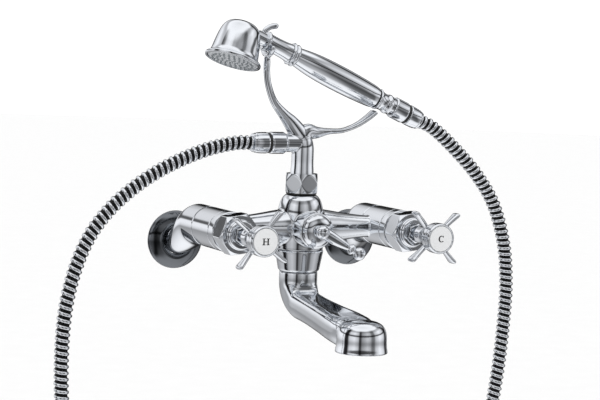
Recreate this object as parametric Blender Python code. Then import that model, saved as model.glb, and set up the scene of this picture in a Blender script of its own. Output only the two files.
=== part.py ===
"""Wall-mounted bath filler with a hand shower, as an assembly of separate pieces.

Metres, +Z up. The origin is midway between the two wall inlets, on the wall face. The wall is the
plane Y = 0, the tap stands out towards -Y, the hot side is -X and the cold side is +X.
Turned outlines are (radius, height) pairs in millimetres, which turned() brings to metres.
"""

import math

import bmesh
import bpy
from mathutils import Matrix, Vector

MM = 0.001
GAP = 0.3

INLET_SPACING = 192.0
VALVE_SPACING = 180.0
UNION_RISE = 20.0
COLUMN_OUT = 83.0

BARREL_R = 19.3
BARREL_BACK = -10.4
BARREL_FRONT = 29.0
BARREL_BORE_R = 13.0
HEX_CORNER_R = 20.8
HEX_TURN = 8.0
BUTTON_R = 14.3

BAR_END_R = 9.9
BAR_ROOT_R = 17.0
BAR_ROOT_X = 22.0

HOT_ARM_ANGLE = 52.0
COLD_ARM_ANGLE = 42.0
ARM_TIP_R = 33.0
ARM_THICKNESS = 4.2
ARM_ROOT_DEPTH = 7.0
ARM_TIP_DEPTH = 13.0
ARM_PLANE = 103.0

LEVER_ANGLE = -28.0
LEVER_PLANE = 49.5

SPOUT_LEG_TOP = -43.0
SPOUT_LEG = 10.0
SPOUT_BEND = 22.0
SPOUT_DROP = 6.0
# Half width and half height of the spout at shares of its length: round leg, slim arm, wide mouth.
SPOUT_SECTIONS = [
    (0.0, 18.5, 18.5), (0.05, 18.5, 18.5), (0.11, 17.9, 17.6), (0.17, 16.8, 15.6), (0.23, 15.8, 13.9),
    (0.30, 15.5, 13.4), (0.6, 17.4, 13.6), (0.82, 20.3, 14.5), (0.92, 20.3, 14.2), (1.0, 17.0, 13.0),
]
OUTLET_OUT = 136.0
OUTLET_BOTTOM = -100.0

HANDSET_TILT = 23.5
HANDSET_START = (-46.0, 179.0)
HEAD_TILT = 19.0
HEAD_ROLL = -8.0
HEAD_FACE = (-77.0, 157.5)
GRIP_START = 38.6
GRIP_END = 133.0

OUTLET_HEIGHT = 81.0
OUTLET_SEAT_X = -20.0
HOSE_D = 14.0
HANDSET_SEAT = 154.0

# The hose's own points, as (X, Y, Z) in millimetres from the valve axis height on the column's plane.
HOSE_ROUTE = [
    (-54.9, 0, 81), (-72, 0, 80.5), (-98, 0, 75), (-124, 0, 65.5), (-149, 0, 53.5), (-173, 0, 38),
    (-195, 0, 19), (-213, 0, -4), (-226, 0, -32), (-235, 0, -68), (-238, 1, -110), (-236, 3, -161),
    (-229, 6, -215), (-215, 9, -271), (-193, 12, -324), (-162, 14, -374), (-122, 16, -416),
    (-75, 17, -446), (-25, 17, -462), (27, 17, -461), (77, 16, -443), (122, 14, -412),
    (159, 12, -369), (188, 9, -319), (209, 6, -265), (223, 3, -210), (231, 1, -154),
    (235, 0, -102), (236, 0, -60), (231, 0, -20), (217, 0, 20), (195, 0, 51),
    (168, 0, 77), (143, 0, 96.8), (127.2, 0, 103.7),
]
HOSE_POINTS = 50


def clear_scene():
    for obj in list(bpy.data.objects):
        bpy.data.objects.remove(obj, do_unlink=True)


def finish(name, color, metallic, roughness):
    material = bpy.data.materials.new(name)
    material.use_nodes = True
    shader = material.node_tree.nodes["Principled BSDF"]
    shader.inputs["Base Color"].default_value = (*color, 1.0)
    shader.inputs["Metallic"].default_value = metallic
    shader.inputs["Roughness"].default_value = roughness
    return material


def chrome(name):
    return finish(name, (0.80, 0.81, 0.83), 1.0, 0.05)


def brass(name):
    return finish(name, (0.78, 0.60, 0.30), 1.0, 0.28)


def rubber(name):
    return finish(name, (0.02, 0.02, 0.02), 0.0, 0.55)


def ceramic(name):
    return finish(name, (0.90, 0.89, 0.86), 0.0, 0.18)


def nylon(name):
    return finish(name, (0.74, 0.75, 0.76), 0.0, 0.35)


def smoothstep(t):
    t = min(max(t, 0.0), 1.0)
    return t * t * (3.0 - 2.0 * t)


def mix(a, b, t):
    return a + (b - a) * t


def object_of(name, bm, sharp_angle=35.0):
    """A new object from a bmesh, welded, facing out and shaded smooth up to the sharp angle."""
    bmesh.ops.remove_doubles(bm, verts=bm.verts, dist=1e-6)
    bmesh.ops.recalc_face_normals(bm, faces=bm.faces)
    mesh = bpy.data.meshes.new(name)
    bm.to_mesh(mesh)
    bm.free()
    mesh.shade_smooth()
    mesh.set_sharp_from_angle(angle=math.radians(sharp_angle))
    obj = bpy.data.objects.new(name, mesh)
    bpy.context.scene.collection.objects.link(obj)
    return obj


def turned(name, outline, steps=18):
    """A solid of revolution about local Z. An outline that leaves the axis is a ring's closed loop."""
    bm = bmesh.new()
    verts = [bm.verts.new((r * MM, 0.0, z * MM)) for r, z in outline]
    edges = [bm.edges.new(pair) for pair in zip(verts, verts[1:])]
    if outline[0][0] > 0.0:
        edges.append(bm.edges.new((verts[-1], verts[0])))
    bmesh.ops.spin(
        bm, geom=verts + edges, cent=(0, 0, 0), axis=(0, 0, 1), angle=math.tau, steps=steps, use_merge=True
    )
    return object_of(name, bm)


def rod(name, radius, low, high, steps=12):
    return turned(name, [(0, low), (radius, low), (radius, high), (0, high)], steps)


def ring(name, inner, outer, low, high, steps=14):
    return turned(name, [(inner, low), (outer, low), (outer, high), (inner, high)], steps)


def lofted(name, rings, sharp_angle=40.0):
    """A closed skin over rings of points in millimetres, with a flat cap on each end."""
    bm = bmesh.new()
    loops = [[bm.verts.new(Vector(point) * MM) for point in loop] for loop in rings]
    count = len(loops[0])
    for near, far in zip(loops, loops[1:]):
        for i in range(count):
            j = (i + 1) % count
            bm.faces.new((near[i], near[j], far[j], far[i]))
    bm.faces.new(loops[0][::-1])
    bm.faces.new(loops[-1])
    return object_of(name, bm, sharp_angle)


def box(name, low, high):
    x0, y0, z0 = low
    x1, y1, z1 = high
    return lofted(name, [[(x0, y0, z), (x1, y0, z), (x1, y1, z), (x0, y1, z)] for z in (z0, z1)])


def hexagon(name, corner_r, low, high):
    corners = [
        (corner_r * math.cos(math.radians(a)), corner_r * math.sin(math.radians(a)))
        for a in range(0, 360, 60)
    ]
    return lofted(name, [[(x, y, z) for x, y in corners] for z in (low, high)], 20.0)


def place(obj, material=None, at=(0, 0, 0), turn=(0, 0, 0), parent=None):
    """Puts a piece at a point in millimetres, turned by Euler angles in degrees."""
    obj.location = Vector(at) * MM
    obj.rotation_euler = [math.radians(a) for a in turn]
    obj.parent = parent
    if material:
        obj.data.materials.append(material)
    return obj


def helper(obj):
    obj.hide_render = True
    obj.display_type = "WIRE"
    return obj


def combine(obj, other, operation):
    """Joins, cuts or trims by a helper, which rides with the piece unless it already has a parent."""
    other.parent = other.parent or obj
    modifier = obj.modifiers.new(f"{operation.lower()} {other.name}", "BOOLEAN")
    modifier.operation = operation
    modifier.solver = "EXACT"
    modifier.object = helper(other)
    return obj


def cut(obj, *cutters):
    for cutter in cutters:
        combine(obj, cutter, "DIFFERENCE")
    return obj


def join(obj, *others):
    for other in others:
        combine(obj, other, "UNION")
    return obj


def frame_at(name, at, turn):
    empty = bpy.data.objects.new(name, None)
    empty.empty_display_size = 0.02
    bpy.context.scene.collection.objects.link(empty)
    return place(empty, None, at, turn)


def hexagon_nut(name, corner_r, low, high, face_r, chamfer):
    """A hexagon whose corners are turned down on both ends, as a nut is chamfered on a lathe."""
    nut = hexagon(name, corner_r, low, high)
    over = corner_r + 0.2
    outline = [(0, low - 0.01), (face_r, low - 0.01), (over, low + chamfer)]
    outline += [(over, high - chamfer), (face_r, high + 0.01), (0, high + 0.01)]
    return combine(nut, turned(f"{name}_chamfer", outline, 18), "INTERSECT")


# ---------------------------------------------------------------- wall side

def flange(side, sign):
    """The wall rose: a low dome with a rolled lip round the pipe."""
    outline = [(13.4, -0.0), (28.5, 0.0), (28.5, 1.8), (26.6, 4.4), (22.0, 7.0), (18.0, 8.6)]
    outline += [(16.6, 8.6), (15.6, 7.2), (13.4, 6.8)]
    rose = turned(f"{side}_wall_flange", outline, 16)
    return place(rose, chrome(f"{side} flange chrome"), (sign * INLET_SPACING / 2, 0, 0), (90, 0, 0))


def union_ring(sign, out, radius, count):
    """One round section of the eccentric union, standing square to Y at a distance out of the wall."""
    t = smoothstep((out - 8.0) / 38.0)
    x = sign * mix(INLET_SPACING, VALVE_SPACING, t) / 2
    turns = [math.tau * i / count for i in range(count)]
    return [(x + radius * math.cos(a), -out, UNION_RISE * t + radius * math.sin(a)) for a in turns]


def eccentric_union(side, sign):
    """The cranked inlet: a threaded tail in the wall, a cast crank, and a sleeve up to the valve."""
    end = COLUMN_OUT + BARREL_BACK - GAP
    outs = [-14.0, -13.2, 8.0, 17.0, 26.0, 35.0, 46.0, end - 0.8, end]
    radii = [12.2, 13.0] + [mix(13.0, BARREL_R, smoothstep((o - 8.0) / 30.0)) for o in outs[2:-1]]
    radii.append(BARREL_R - 0.6)
    body = lofted(f"{side}_eccentric_union", [union_ring(sign, o, r, 18) for o, r in zip(outs, radii)])
    bore_outs = [-16.0, 8.0, 20.0, 33.0, 46.0, end + 2.0]
    bore = lofted(f"{side}_union_bore", [union_ring(sign, o, 7.5, 12) for o in bore_outs])
    recess = lofted(f"{side}_washer_recess", [union_ring(sign, o, 17.4, 17) for o in (end - 2.0, end + 1.0)])
    place(body, chrome(f"{side} union chrome"))
    return cut(body, bore, recess)


# ---------------------------------------------------------------- valves

def valve_pieces(side, sign, arm_angle):
    """One tap's headwork and handle, on an axis that runs out from the column's plane towards -Y."""
    axis = frame_at(f"{side}_valve_axis", (sign * VALVE_SPACING / 2, -COLUMN_OUT, UNION_RISE), (90, 0, 0))
    washer = ring(f"{side}_union_washer", 7.8, 17.0, BARREL_BACK - 2.0, BARREL_BACK - GAP)
    place(washer, rubber(f"{side} union washer"), parent=axis)
    seal = ring(f"{side}_seat_seal", 7.2, 9.4, -7.2, -5.3, 14)
    place(seal, rubber(f"{side} seat seal"), parent=axis)
    collar = turned(f"{side}_bonnet_collar", [
        (13.4, BARREL_FRONT + GAP), (BARREL_R - 0.5, BARREL_FRONT + GAP), (BARREL_R, BARREL_FRONT + 1.0),
        (BARREL_R, 39.0), (BARREL_R - 0.9, 40.0), (13.4, 40.0),
    ], 16)
    place(collar, chrome(f"{side} collar chrome"), parent=axis)
    place(bonnet(side), chrome(f"{side} bonnet chrome"), parent=axis)
    fixed_disc = valve_disc(f"{side}_fixed_disc", -5.0, -2.0, 0.0)
    place(fixed_disc, ceramic(f"{side} fixed disc"), parent=axis)
    packing = ring(f"{side}_gland_packing", 4.4, 7.0, 61.6, 64.4, 12)
    place(packing, rubber(f"{side} packing"), parent=axis)
    gland = hexagon_nut(f"{side}_gland_nut", 9.6, 66.3, 71.4, 8.0, 0.9)
    cut(gland, rod(f"{side}_gland_bore", 4.4, 60, 75))
    place(gland, brass(f"{side} gland brass"), parent=axis)
    moving_disc = valve_disc(f"{side}_moving_disc", -1.7, 1.2, 90.0)
    place(moving_disc, ceramic(f"{side} moving disc"), parent=axis)
    place(spindle(side), brass(f"{side} spindle brass"), parent=axis)
    place(crosshead(side, arm_angle), chrome(f"{side} handle chrome"), parent=axis)
    screw_outline = [(0, 104.4), (4.2, 104.4), (4.2, 106.2), (3.0, 107.4), (0, 107.4)]
    screw = turned(f"{side}_handle_screw", screw_outline, 12)
    place(screw, brass(f"{side} handle screw"), parent=axis)
    place(index_button(side), finish(f"{side} index silver", (0.83, 0.83, 0.84), 0.9, 0.25), parent=axis)


def bonnet(side):
    """The hexagon headwork: a chamfered hexagon, a round nose, and a spigot down into the barrel."""
    body = hexagon_nut(f"{side}_bonnet", HEX_CORNER_R, 40.3, 60.6, 17.4, 3.0)
    body.data.transform(Matrix.Rotation(math.radians(HEX_TURN), 4, "Z"))
    nose = turned(f"{side}_bonnet_nose", [(0, 58), (14.2, 58), (14.2, 64.6), (13.2, 65.9), (0, 65.9)], 16)
    spigot = turned(f"{side}_bonnet_spigot", [
        (0, -7.1), (11.2, -7.1), (11.2, 13.0), (BARREL_BORE_R - 0.4, 14.4),
        (BARREL_BORE_R - 0.4, 42.3), (0, 42.3),
    ], 16)
    join(body, nose, spigot)
    chamber = turned(f"{side}_bonnet_bore", [
        (0, -9.0), (9.7, -9.0), (9.7, 9.6), (4.5, 12.0), (4.5, 61.3), (7.3, 61.3), (7.3, 67.0), (0, 67.0),
    ], 14)
    window = box(f"{side}_bonnet_window", (-20, -4.5, 2.0), (20, 4.5, 7.6))
    return cut(body, chamber, window)


def valve_disc(name, low, high, turn):
    """A ceramic disc with two facing ports."""
    disc = rod(name, 9.2, low, high, 20)
    for i, angle in enumerate((turn, turn + 180.0)):
        port = rod(f"{name}_port_{i}", 2.9, low - 1, high + 1, 10)
        a = math.radians(angle)
        port.data.transform(Matrix.Translation(Vector((5.0 * math.cos(a), 5.0 * math.sin(a), 0)) * MM))
        cut(disc, port)
    return disc


def spindle(side):
    """Turns the moving disc: a round carrier in the bonnet's chamber on a long stem."""
    outline = [
        (0, 1.5), (8.6, 1.5), (8.6, 8.4), (4.1, 10.6), (4.1, 76.2), (3.6, 76.9), (3.6, 104.0), (0, 104.0),
    ]
    return turned(f"{side}_spindle", outline, 16)


def arm_section(radius, depth, width, side_angle):
    """A rounded upright section across one handle arm, square to the radius."""
    a = math.radians(side_angle)
    out = Vector((math.cos(a), math.sin(a), 0))
    along = Vector((-math.sin(a), math.cos(a), 0))
    points = []
    for i in range(8):
        t = math.tau * (i + 0.5) / 8
        x = width / 2 * math.copysign(abs(math.cos(t)) ** 0.6, math.cos(t))
        z = depth / 2 * math.copysign(abs(math.sin(t)) ** 0.8, math.sin(t))
        points.append(out * radius + along * x + Vector((0, 0, ARM_PLANE + z)))
    return points


def crosshead(side, arm_angle):
    """Four upright arms, thin and deep, flaring out from a waisted hub."""
    hub = turned(f"{side}_crosshead", [
        (3.9, 77.2), (7.6, 77.2), (8.6, 79.0), (8.0, 88.0), (9.6, 96.0), (BUTTON_R, 104.6), (BUTTON_R, 111.0),
        (10.8, 111.0), (10.8, 104.1), (3.9, 104.1),
    ], 16)
    sections = [(9.0, ARM_ROOT_DEPTH, 4.8), (20.0, 8.4, ARM_THICKNESS)]
    sections += [(31.0, ARM_TIP_DEPTH, ARM_THICKNESS), (ARM_TIP_R, 11.4, 2.4)]
    for i in range(4):
        angle = arm_angle + 90.0 * i
        rings = [arm_section(radius, depth, width, angle) for radius, depth, width in sections]
        join(hub, lofted(f"{side}_arm_{i}", rings))
    return hub


def index_button(side):
    """The cap on the handle: a bevelled rim, a ring groove and a flat disc for the index letter."""
    outline = [
        (0, 108.2), (10.3, 108.2), (10.3, 111.3), (BUTTON_R, 111.3), (BUTTON_R, 115.2), (13.0, 117.0),
        (11.6, 117.0), (11.2, 115.9), (10.7, 115.9), (10.3, 116.6), (0, 116.6),
    ]
    return turned(f"{side}_index_button", outline, 16)


# ---------------------------------------------------------------- mixer body

def bar_radius(x):
    t = min(max((76.0 - abs(x)) / (76.0 - BAR_ROOT_X), 0.0), 1.0)
    return BAR_END_R + (BAR_ROOT_R - BAR_END_R) * t ** 1.6


def mixer_body():
    """One casting: a domed centre body, two tapering arms and a valve barrel on the end of each."""
    centre = (0, -COLUMN_OUT, UNION_RISE)
    body = turned("mixer_body", [
        (0, -21.2), (22.8, -21.2), (22.8, 8.0), (22.2, 16.2), (18.9, 26.5),
        (16.4, 29.6), (14.4, 31.2), (12.4, 31.5), (12.4, 41.4), (0, 41.4),
    ], 16)
    place(body, chrome("body chrome"), centre)
    stations = [76.0, 52.0, 34.0, BAR_ROOT_X]
    outline = [(0, -84.0), (BAR_END_R, -84.0)] + [(bar_radius(x), -x) for x in stations]
    outline += [(r, -z) for r, z in reversed(outline[1:])] + [(0, 84.0)]
    bar = place(turned("bar_form", outline, 14), turn=(0, 90, 0))
    boss = place(rod("boss_form", 16.2, 3.3, 34.0, 16), turn=(90, 0, 0))
    join(body, bar, boss)
    barrels = (("hot", (-VALVE_SPACING / 2, 0, 0)), ("cold", (VALVE_SPACING / 2, 0, 0)))
    for side, at in barrels:
        barrel = rod(f"{side}_barrel_form", BARREL_R, BARREL_BACK, BARREL_FRONT, 18)
        join(body, place(barrel, at=at, turn=(90, 0, 0)))
    for side, at in barrels:
        bore = turned(f"{side}_barrel_bore", [
            (0, -12.0), (7.0, -12.0), (7.0, -7.5), (BARREL_BORE_R, -7.5), (BARREL_BORE_R, 31.0), (0, 31.0),
        ], 13)
        cut(body, place(bore, at=at, turn=(90, 5, 0)))
    waterway = place(rod("waterway_bore", 5.6, -81.3, 81.3, 9), turn=(0, 90, 0))
    rotor_chamber = place(turned("rotor_bore", [
        (0, -11.0), (9.5, -11.0), (9.5, 11.0), (6.9, 11.0), (6.9, 36.0), (0, 36.0),
    ], 11), turn=(90, 0, 0))
    riser = rod("riser_bore", 6.0, 1.7, 45.0, 10)
    down = rod("spout_bore", 7.6, -25.0, -1.3, 10)
    return cut(body, waterway, rotor_chamber, riser, down)


# ---------------------------------------------------------------- diverter

def diverter():
    """A rotor in the body, turned by a lever on the front: it sends water to the spout or the hose."""
    axis = frame_at("diverter_axis", (0, -COLUMN_OUT, UNION_RISE), (90, 0, 0))
    rotor = turned("diverter_rotor", [
        (0, -10.6), (8.9, -10.6), (8.9, 9.2), (4.0, 10.6), (4.0, 44.0), (0, 44.0),
    ], 14)
    cut(rotor, box("rotor_port", (-12, -12, -6.0), (12, 6.4, 6.0)))
    place(rotor, brass("rotor brass"), parent=axis)
    seal = ring("diverter_o_ring", 4.2, 6.5, 20.0, 22.6, 12)
    place(seal, rubber("diverter seal"), parent=axis)
    cap = turned("diverter_cap", [
        (4.4, 34.3), (16.6, 34.3), (17.2, 35.2), (17.2, 37.4), (16.4, 38.4), (15.4, 38.6), (14.8, 39.8),
        (12.6, 41.8), (9.6, 43.2), (6.6, 43.9), (4.4, 43.9),
    ], 16)
    place(cap, chrome("diverter cap chrome"), parent=axis)
    place(lever(), chrome("lever chrome"), parent=axis)


def lever_section(reach, half_width, half_depth):
    """A rounded section across the lever, square to its length."""
    a = math.radians(LEVER_ANGLE)
    out = Vector((math.cos(a), math.sin(a), 0))
    across = Vector((-math.sin(a), math.cos(a), 0))
    turns = [math.tau * (i + 0.5) / 8 for i in range(8)]
    return [
        out * reach + across * half_width * math.cos(t)
        + Vector((0, 0, LEVER_PLANE + half_depth * math.sin(t)))
        for t in turns
    ]


def lever():
    hub = turned("diverter_lever", [
        (0, 44.3), (4.6, 44.3), (6.2, 46.0), (6.8, 49.0), (6.2, 52.4), (4.0, 54.4), (0, 55.0),
    ], 14)
    blade = [(2.0, 6.0, 4.0), (12.0, 5.6, 3.6), (22.0, 4.6, 3.0), (31.0, 3.2, 2.4)]
    blade += [(32.4, 3.0, 2.4), (33.8, 4.8, 4.0), (35.6, 5.2, 4.4), (37.4, 4.2, 3.6), (38.6, 3.2, 2.9)]
    blade += [(41.0, 5.0, 4.2), (44.8, 6.4, 4.9), (48.6, 5.4, 4.4), (50.6, 3.2, 2.8), (51.4, 1.4, 1.2)]
    return join(hub, lofted("lever_blade", [lever_section(*section) for section in blade], 30.0))


# ---------------------------------------------------------------- spout

def spout_point(t):
    """Out from the column, height over the valve axis and heading, for t from 0 to 1 along the spout."""
    turn = math.radians(90.0 - SPOUT_DROP)
    arm = OUTLET_OUT - SPOUT_BEND - 4.0
    arc = SPOUT_BEND * turn
    s = t * (SPOUT_LEG + arc + arm)
    elbow_top = SPOUT_LEG_TOP - SPOUT_LEG
    if s <= SPOUT_LEG:
        return 0.0, SPOUT_LEG_TOP - s, 0.0
    if s <= SPOUT_LEG + arc:
        a = (s - SPOUT_LEG) / SPOUT_BEND
        return SPOUT_BEND * (1 - math.cos(a)), elbow_top - SPOUT_BEND * math.sin(a), a
    rest = s - SPOUT_LEG - arc
    out = SPOUT_BEND * (1 - math.cos(turn)) + rest * math.sin(turn)
    return out, elbow_top - SPOUT_BEND * math.sin(turn) - rest * math.cos(turn), turn


def spout_section(t, half_w, half_h, squareness, count=16):
    """A section square to the centre line. Its upper side is squarer than its belly past the elbow."""
    out, height, turn = spout_point(t)
    points = []
    for i in range(count):
        a = math.tau * i / count
        c, s = math.cos(a), math.sin(a)
        power = 2.0 / mix(2.0, 4.4, squareness) if s > 0.0 else 2.0 / mix(2.0, 2.5, squareness)
        x = half_w * math.copysign(abs(c) ** power, c)
        up = half_h * math.copysign(abs(s) ** power, s)
        forward = out + up * math.cos(turn)
        points.append((x, -COLUMN_OUT - forward, UNION_RISE + height + up * math.sin(turn)))
    return points


def spout():
    """A short leg, an elbow, a flat-topped arm that widens and a turned-down bell at its end."""
    rings = []
    for t, half_w, half_h in SPOUT_SECTIONS:
        rings.append(spout_section(t, half_w, half_h, smoothstep((t - 0.05) / 0.22)))
    body = lofted("spout", rings)
    place(body, chrome("spout chrome"))
    at = (0, -COLUMN_OUT - OUTLET_OUT, UNION_RISE)
    bell = turned("bell_form", [
        (0, OUTLET_BOTTOM), (24.0, OUTLET_BOTTOM), (22.9, -93.0), (22.8, -85.0), (21.9, -79.5),
        (19.0, -74.7), (13.0, -71.7), (0, -70.7),
    ], 16)
    join(body, place(bell, at=at))
    mouth = turned("bell_bore", [
        (0, -101.0), (20.6, -101.0), (20.0, -85.0), (18.0, -79.0), (12.0, -75.6), (0, -74.8),
    ], 16)
    waterway = lofted("spout_waterway", [
        [Vector(p) for p in spout_section(t, 9.0, 8.6, 0.0, 10)]
        for t in (0.0, 0.06, 0.12, 0.19, 0.27, 0.97)
    ])
    leg_at = (0, -COLUMN_OUT, UNION_RISE)
    inlet = place(rod("spout_inlet_bore", 9.6, -49.0, -20.0, 15), at=leg_at, turn=(0, 0, 5))
    spigot = place(rod("spout_spigot", 13.0, -45.0, -24.6, 16), at=leg_at)
    join(body, spigot)
    return cut(body, waterway, inlet, place(mouth, at=at))


def spout_fittings():
    at = (0, -COLUMN_OUT, UNION_RISE)
    collar = turned("spout_collar", [
        (13.3, -42.6), (18.4, -42.6), (19.6, -41.4), (20.4, -38.0), (22.2, -28.0), (23.4, -22.4),
        (22.8, -21.5), (13.3, -21.5),
    ], 16)
    place(collar, chrome("collar chrome"), at)
    seal = ring("spout_o_ring", 9.4, 12.6, -24.3, -21.7, 14)
    place(seal, rubber("spout seal"), at)
    insert = ring("outlet_insert", 16.4, 19.8, -95.0, -88.0, 16)
    join(insert, box("insert_bar_x", (-17.5, -0.9, -94.0), (17.5, 0.9, -89.0)))
    join(insert, box("insert_bar_y", (-0.9, -17.5, -93.6), (0.9, 17.5, -89.4)))
    place(insert, nylon("insert nylon"), (0, -COLUMN_OUT - OUTLET_OUT, UNION_RISE))


# ---------------------------------------------------------------- riser and cradle

def riser_fittings():
    at = (0, -COLUMN_OUT, UNION_RISE)
    gasket = ring("riser_gasket", 12.9, 14.7, 31.9, 33.1, 18)
    place(gasket, rubber("riser gasket"), at)
    nut = hexagon_nut("riser_nut", 17.5, 33.4, 51.8, 14.6, 2.6)
    bore_outline = [(0, 20), (13.0, 20), (13.0, 47.3), (11.5, 47.3), (11.5, 53), (0, 53)]
    bore = turned("riser_nut_bore", bore_outline, 16)
    place(cut(nut, bore), chrome("riser nut chrome"), at, (0, 0, -26.0 + 30.0))
    washer = ring("riser_washer", 6.4, 12.2, 41.7, 43.3, 14)
    place(washer, rubber("riser washer"), at)


def arm_loft(name, stations, count=10):
    """A cast arm in the column's plane, from stations of (x, height, half width, half depth in Y)."""
    rings = []
    for i, (x, z, half_width, half_depth) in enumerate(stations):
        before = stations[max(i - 1, 0)]
        after = stations[min(i + 1, len(stations) - 1)]
        ahead = Vector((after[0] - before[0], after[1] - before[1])).normalized()
        loop = []
        for k in range(count):
            a = math.tau * k / count
            side = half_width * math.cos(a)
            loop.append((x - ahead.y * side, half_depth * math.sin(a), z + ahead.x * side))
        rings.append(loop)
    return lofted(name, rings)


def swept(name, path, radii, count=8):
    """A round tapering rod along points (x, y, height) taken from the column's plane."""
    rings = []
    for i, point in enumerate(path):
        ahead = (Vector(path[min(i + 1, len(path) - 1)]) - Vector(path[max(i - 1, 0)])).normalized()
        across = ahead.cross(Vector((1, 0, 0.15))).normalized()
        other = ahead.cross(across)
        turns = [math.tau * k / count for k in range(count)]
        centre = Vector(point)
        rings.append([centre + (across * math.cos(a) + other * math.sin(a)) * radii[i] for a in turns])
    return lofted(name, rings)


def cradle():
    """The casting over the body: a hollow stem, the hose outlet and two arms that hold the hand shower."""
    at = (0, -COLUMN_OUT, UNION_RISE)
    stem = turned("cradle", [
        (0, 43.7), (12.5, 43.7), (12.5, 46.8), (11.1, 47.0), (11.3, 53.0), (10.7, 60.0), (10.8, 70.0),
        (11.4, 80.0), (10.4, 88.0), (7.0, 92.0), (0, 93.0),
    ], 16)
    place(stem, chrome("cradle chrome"), at)
    left = arm_loft("fork_arm_form", [
        (0, 78, 9.5, 8.5), (-4, 88, 9.6, 7.6), (-13, 99.5, 7.8, 5.6), (-23, 109.5, 5.2, 4.6),
        (-32.5, 120.5, 3.7, 4.1), (-38.6, 135, 3.2, 3.9), (-41, 148, 3.1, 3.9), (-41.2, 158, 3.2, 4.2),
        (-41, 164, 2.4, 3.4),
    ])
    right = arm_loft("rest_arm_form", [
        (-3, 84, 9.0, 8.0), (4, 91.5, 8.2, 6.6), (14, 91.3, 5.8, 5.2), (27, 92.6, 3.0, 4.4),
        (42, 93.6, 2.4, 4.2), (56, 98.5, 2.6, 4.8), (67.5, 105.2, 2.9, 6.4), (76.3, 112.0, 2.9, 7.6),
    ])
    front = swept("front_prong_form", [
        (-41, 1, 164.2), (-41, -4.6, 165.2), (-40.8, -8.8, 167.8), (-40.5, -11.4, 171), (-40.3, -12.1, 173.2),
    ], [2.8, 2.8, 2.7, 2.4, 1.4])
    back = swept("back_prong_form", [
        (-41, -1, 164.3), (-41, 4.6, 165.2), (-41, 8.8, 167.8), (-41.2, 11.8, 172.5), (-41, 12.5, 180),
        (-38.5, 12.4, 186.5), (-33.5, 12.2, 190), (-27.8, 12.0, 190.6), (-25.8, 11.8, 189.6),
    ], [2.7, 2.8, 2.7, 2.6, 2.6, 2.6, 2.5, 2.2, 1.3])
    outlet = turned("outlet_form", [(0, 0), (8.6, 0), (8.6, 20.0), (6.8, 20.0), (6.8, 30.2), (0, 30.2)], 16)
    outlet_at = (0, 0, OUTLET_HEIGHT)
    place(outlet, at=outlet_at, turn=(0, -90, 0))
    join(stem, left, right, front, back, outlet)
    riser = rod("stem_bore", 5.6, 40.0, 83.0, 12)
    side = place(rod("outlet_bore", 4.4, 0.0, 33.0, 10), at=outlet_at, turn=(0, -90, 0))
    return cut(stem, riser, side)


# ---------------------------------------------------------------- hose

def hose_end(name, at, turn):
    """What ends the hose: a washer, a round nut, a black ring and a plain ferrule, out along local Z."""
    seat = frame_at(f"{name}_seat", at, turn)
    washer = ring(f"{name}_washer", 3.6, 6.9, 10.5, 12.1, 12)
    place(washer, rubber(f"{name} washer"), parent=seat)
    nut = turned(f"{name}_nut", [
        (7.2, 0.4), (10.4, 0.4), (10.4, 15.5), (9.8, 16.0), (5.2, 16.0), (5.2, 12.4), (7.2, 12.4),
    ], 16)
    place(nut, chrome(f"{name} nut chrome"), parent=seat)
    band = ring(f"{name}_ring", 5.4, 9.7, 16.3, 18.3, 16)
    place(band, rubber(f"{name} ring"), parent=seat)
    ferrule = turned(f"{name}_ferrule", [
        (4.6, 18.6), (10.1, 18.6), (9.9, 28.0), (8.8, 34.0), (4.6, 34.0),
    ], 16)
    place(ferrule, chrome(f"{name} ferrule chrome"), parent=seat)


def smooth_points(points, count):
    """Evenly spaced points along a smooth curve through the given ones."""
    fine = []
    padded = [points[0] * 2 - points[1]] + points + [points[-1] * 2 - points[-2]]
    for p0, p1, p2, p3 in zip(padded, padded[1:], padded[2:], padded[3:]):
        for i in range(24):
            t = i / 24
            fine.append(0.5 * (
                2 * p1 + (p2 - p0) * t + (2 * p0 - 5 * p1 + 4 * p2 - p3) * t * t
                + (3 * p1 - p0 - 3 * p2 + p3) * t * t * t
            ))
    fine.append(points[-1])
    reach = [0.0]
    for a, b in zip(fine, fine[1:]):
        reach.append(reach[-1] + (b - a).length)
    spaced = []
    at = 0
    for i in range(count):
        want = reach[-1] * i / (count - 1)
        while at < len(reach) - 2 and reach[at + 1] < want:
            at += 1
        share = (want - reach[at]) / (reach[at + 1] - reach[at])
        spaced.append(fine[at].lerp(fine[at + 1], min(max(share, 0.0), 1.0)))
    return spaced


def hose():
    """The flexible hose, hanging in a loop from the outlet to the hand shower's lower end."""
    lift = Vector((0, -COLUMN_OUT, UNION_RISE))
    route = [(Vector(point) + lift) * MM for point in HOSE_ROUTE]
    points = smooth_points(route, HOSE_POINTS)
    curve = bpy.data.curves.new("hose", "CURVE")
    curve.dimensions = "3D"
    curve.bevel_depth = HOSE_D / 2 * MM
    curve.bevel_resolution = 2
    curve.use_fill_caps = True
    spline = curve.splines.new("POLY")
    spline.points.add(len(points) - 1)
    for slot, point in zip(spline.points, points):
        slot.co = (*point, 1.0)
    tube = bpy.data.objects.new("hose", curve)
    bpy.context.scene.collection.objects.link(tube)
    curve.materials.append(chrome("hose chrome"))
    print("hose length", round(sum((b - a).length for a, b in zip(points, points[1:])), 4))


# ---------------------------------------------------------------- hand shower

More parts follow.
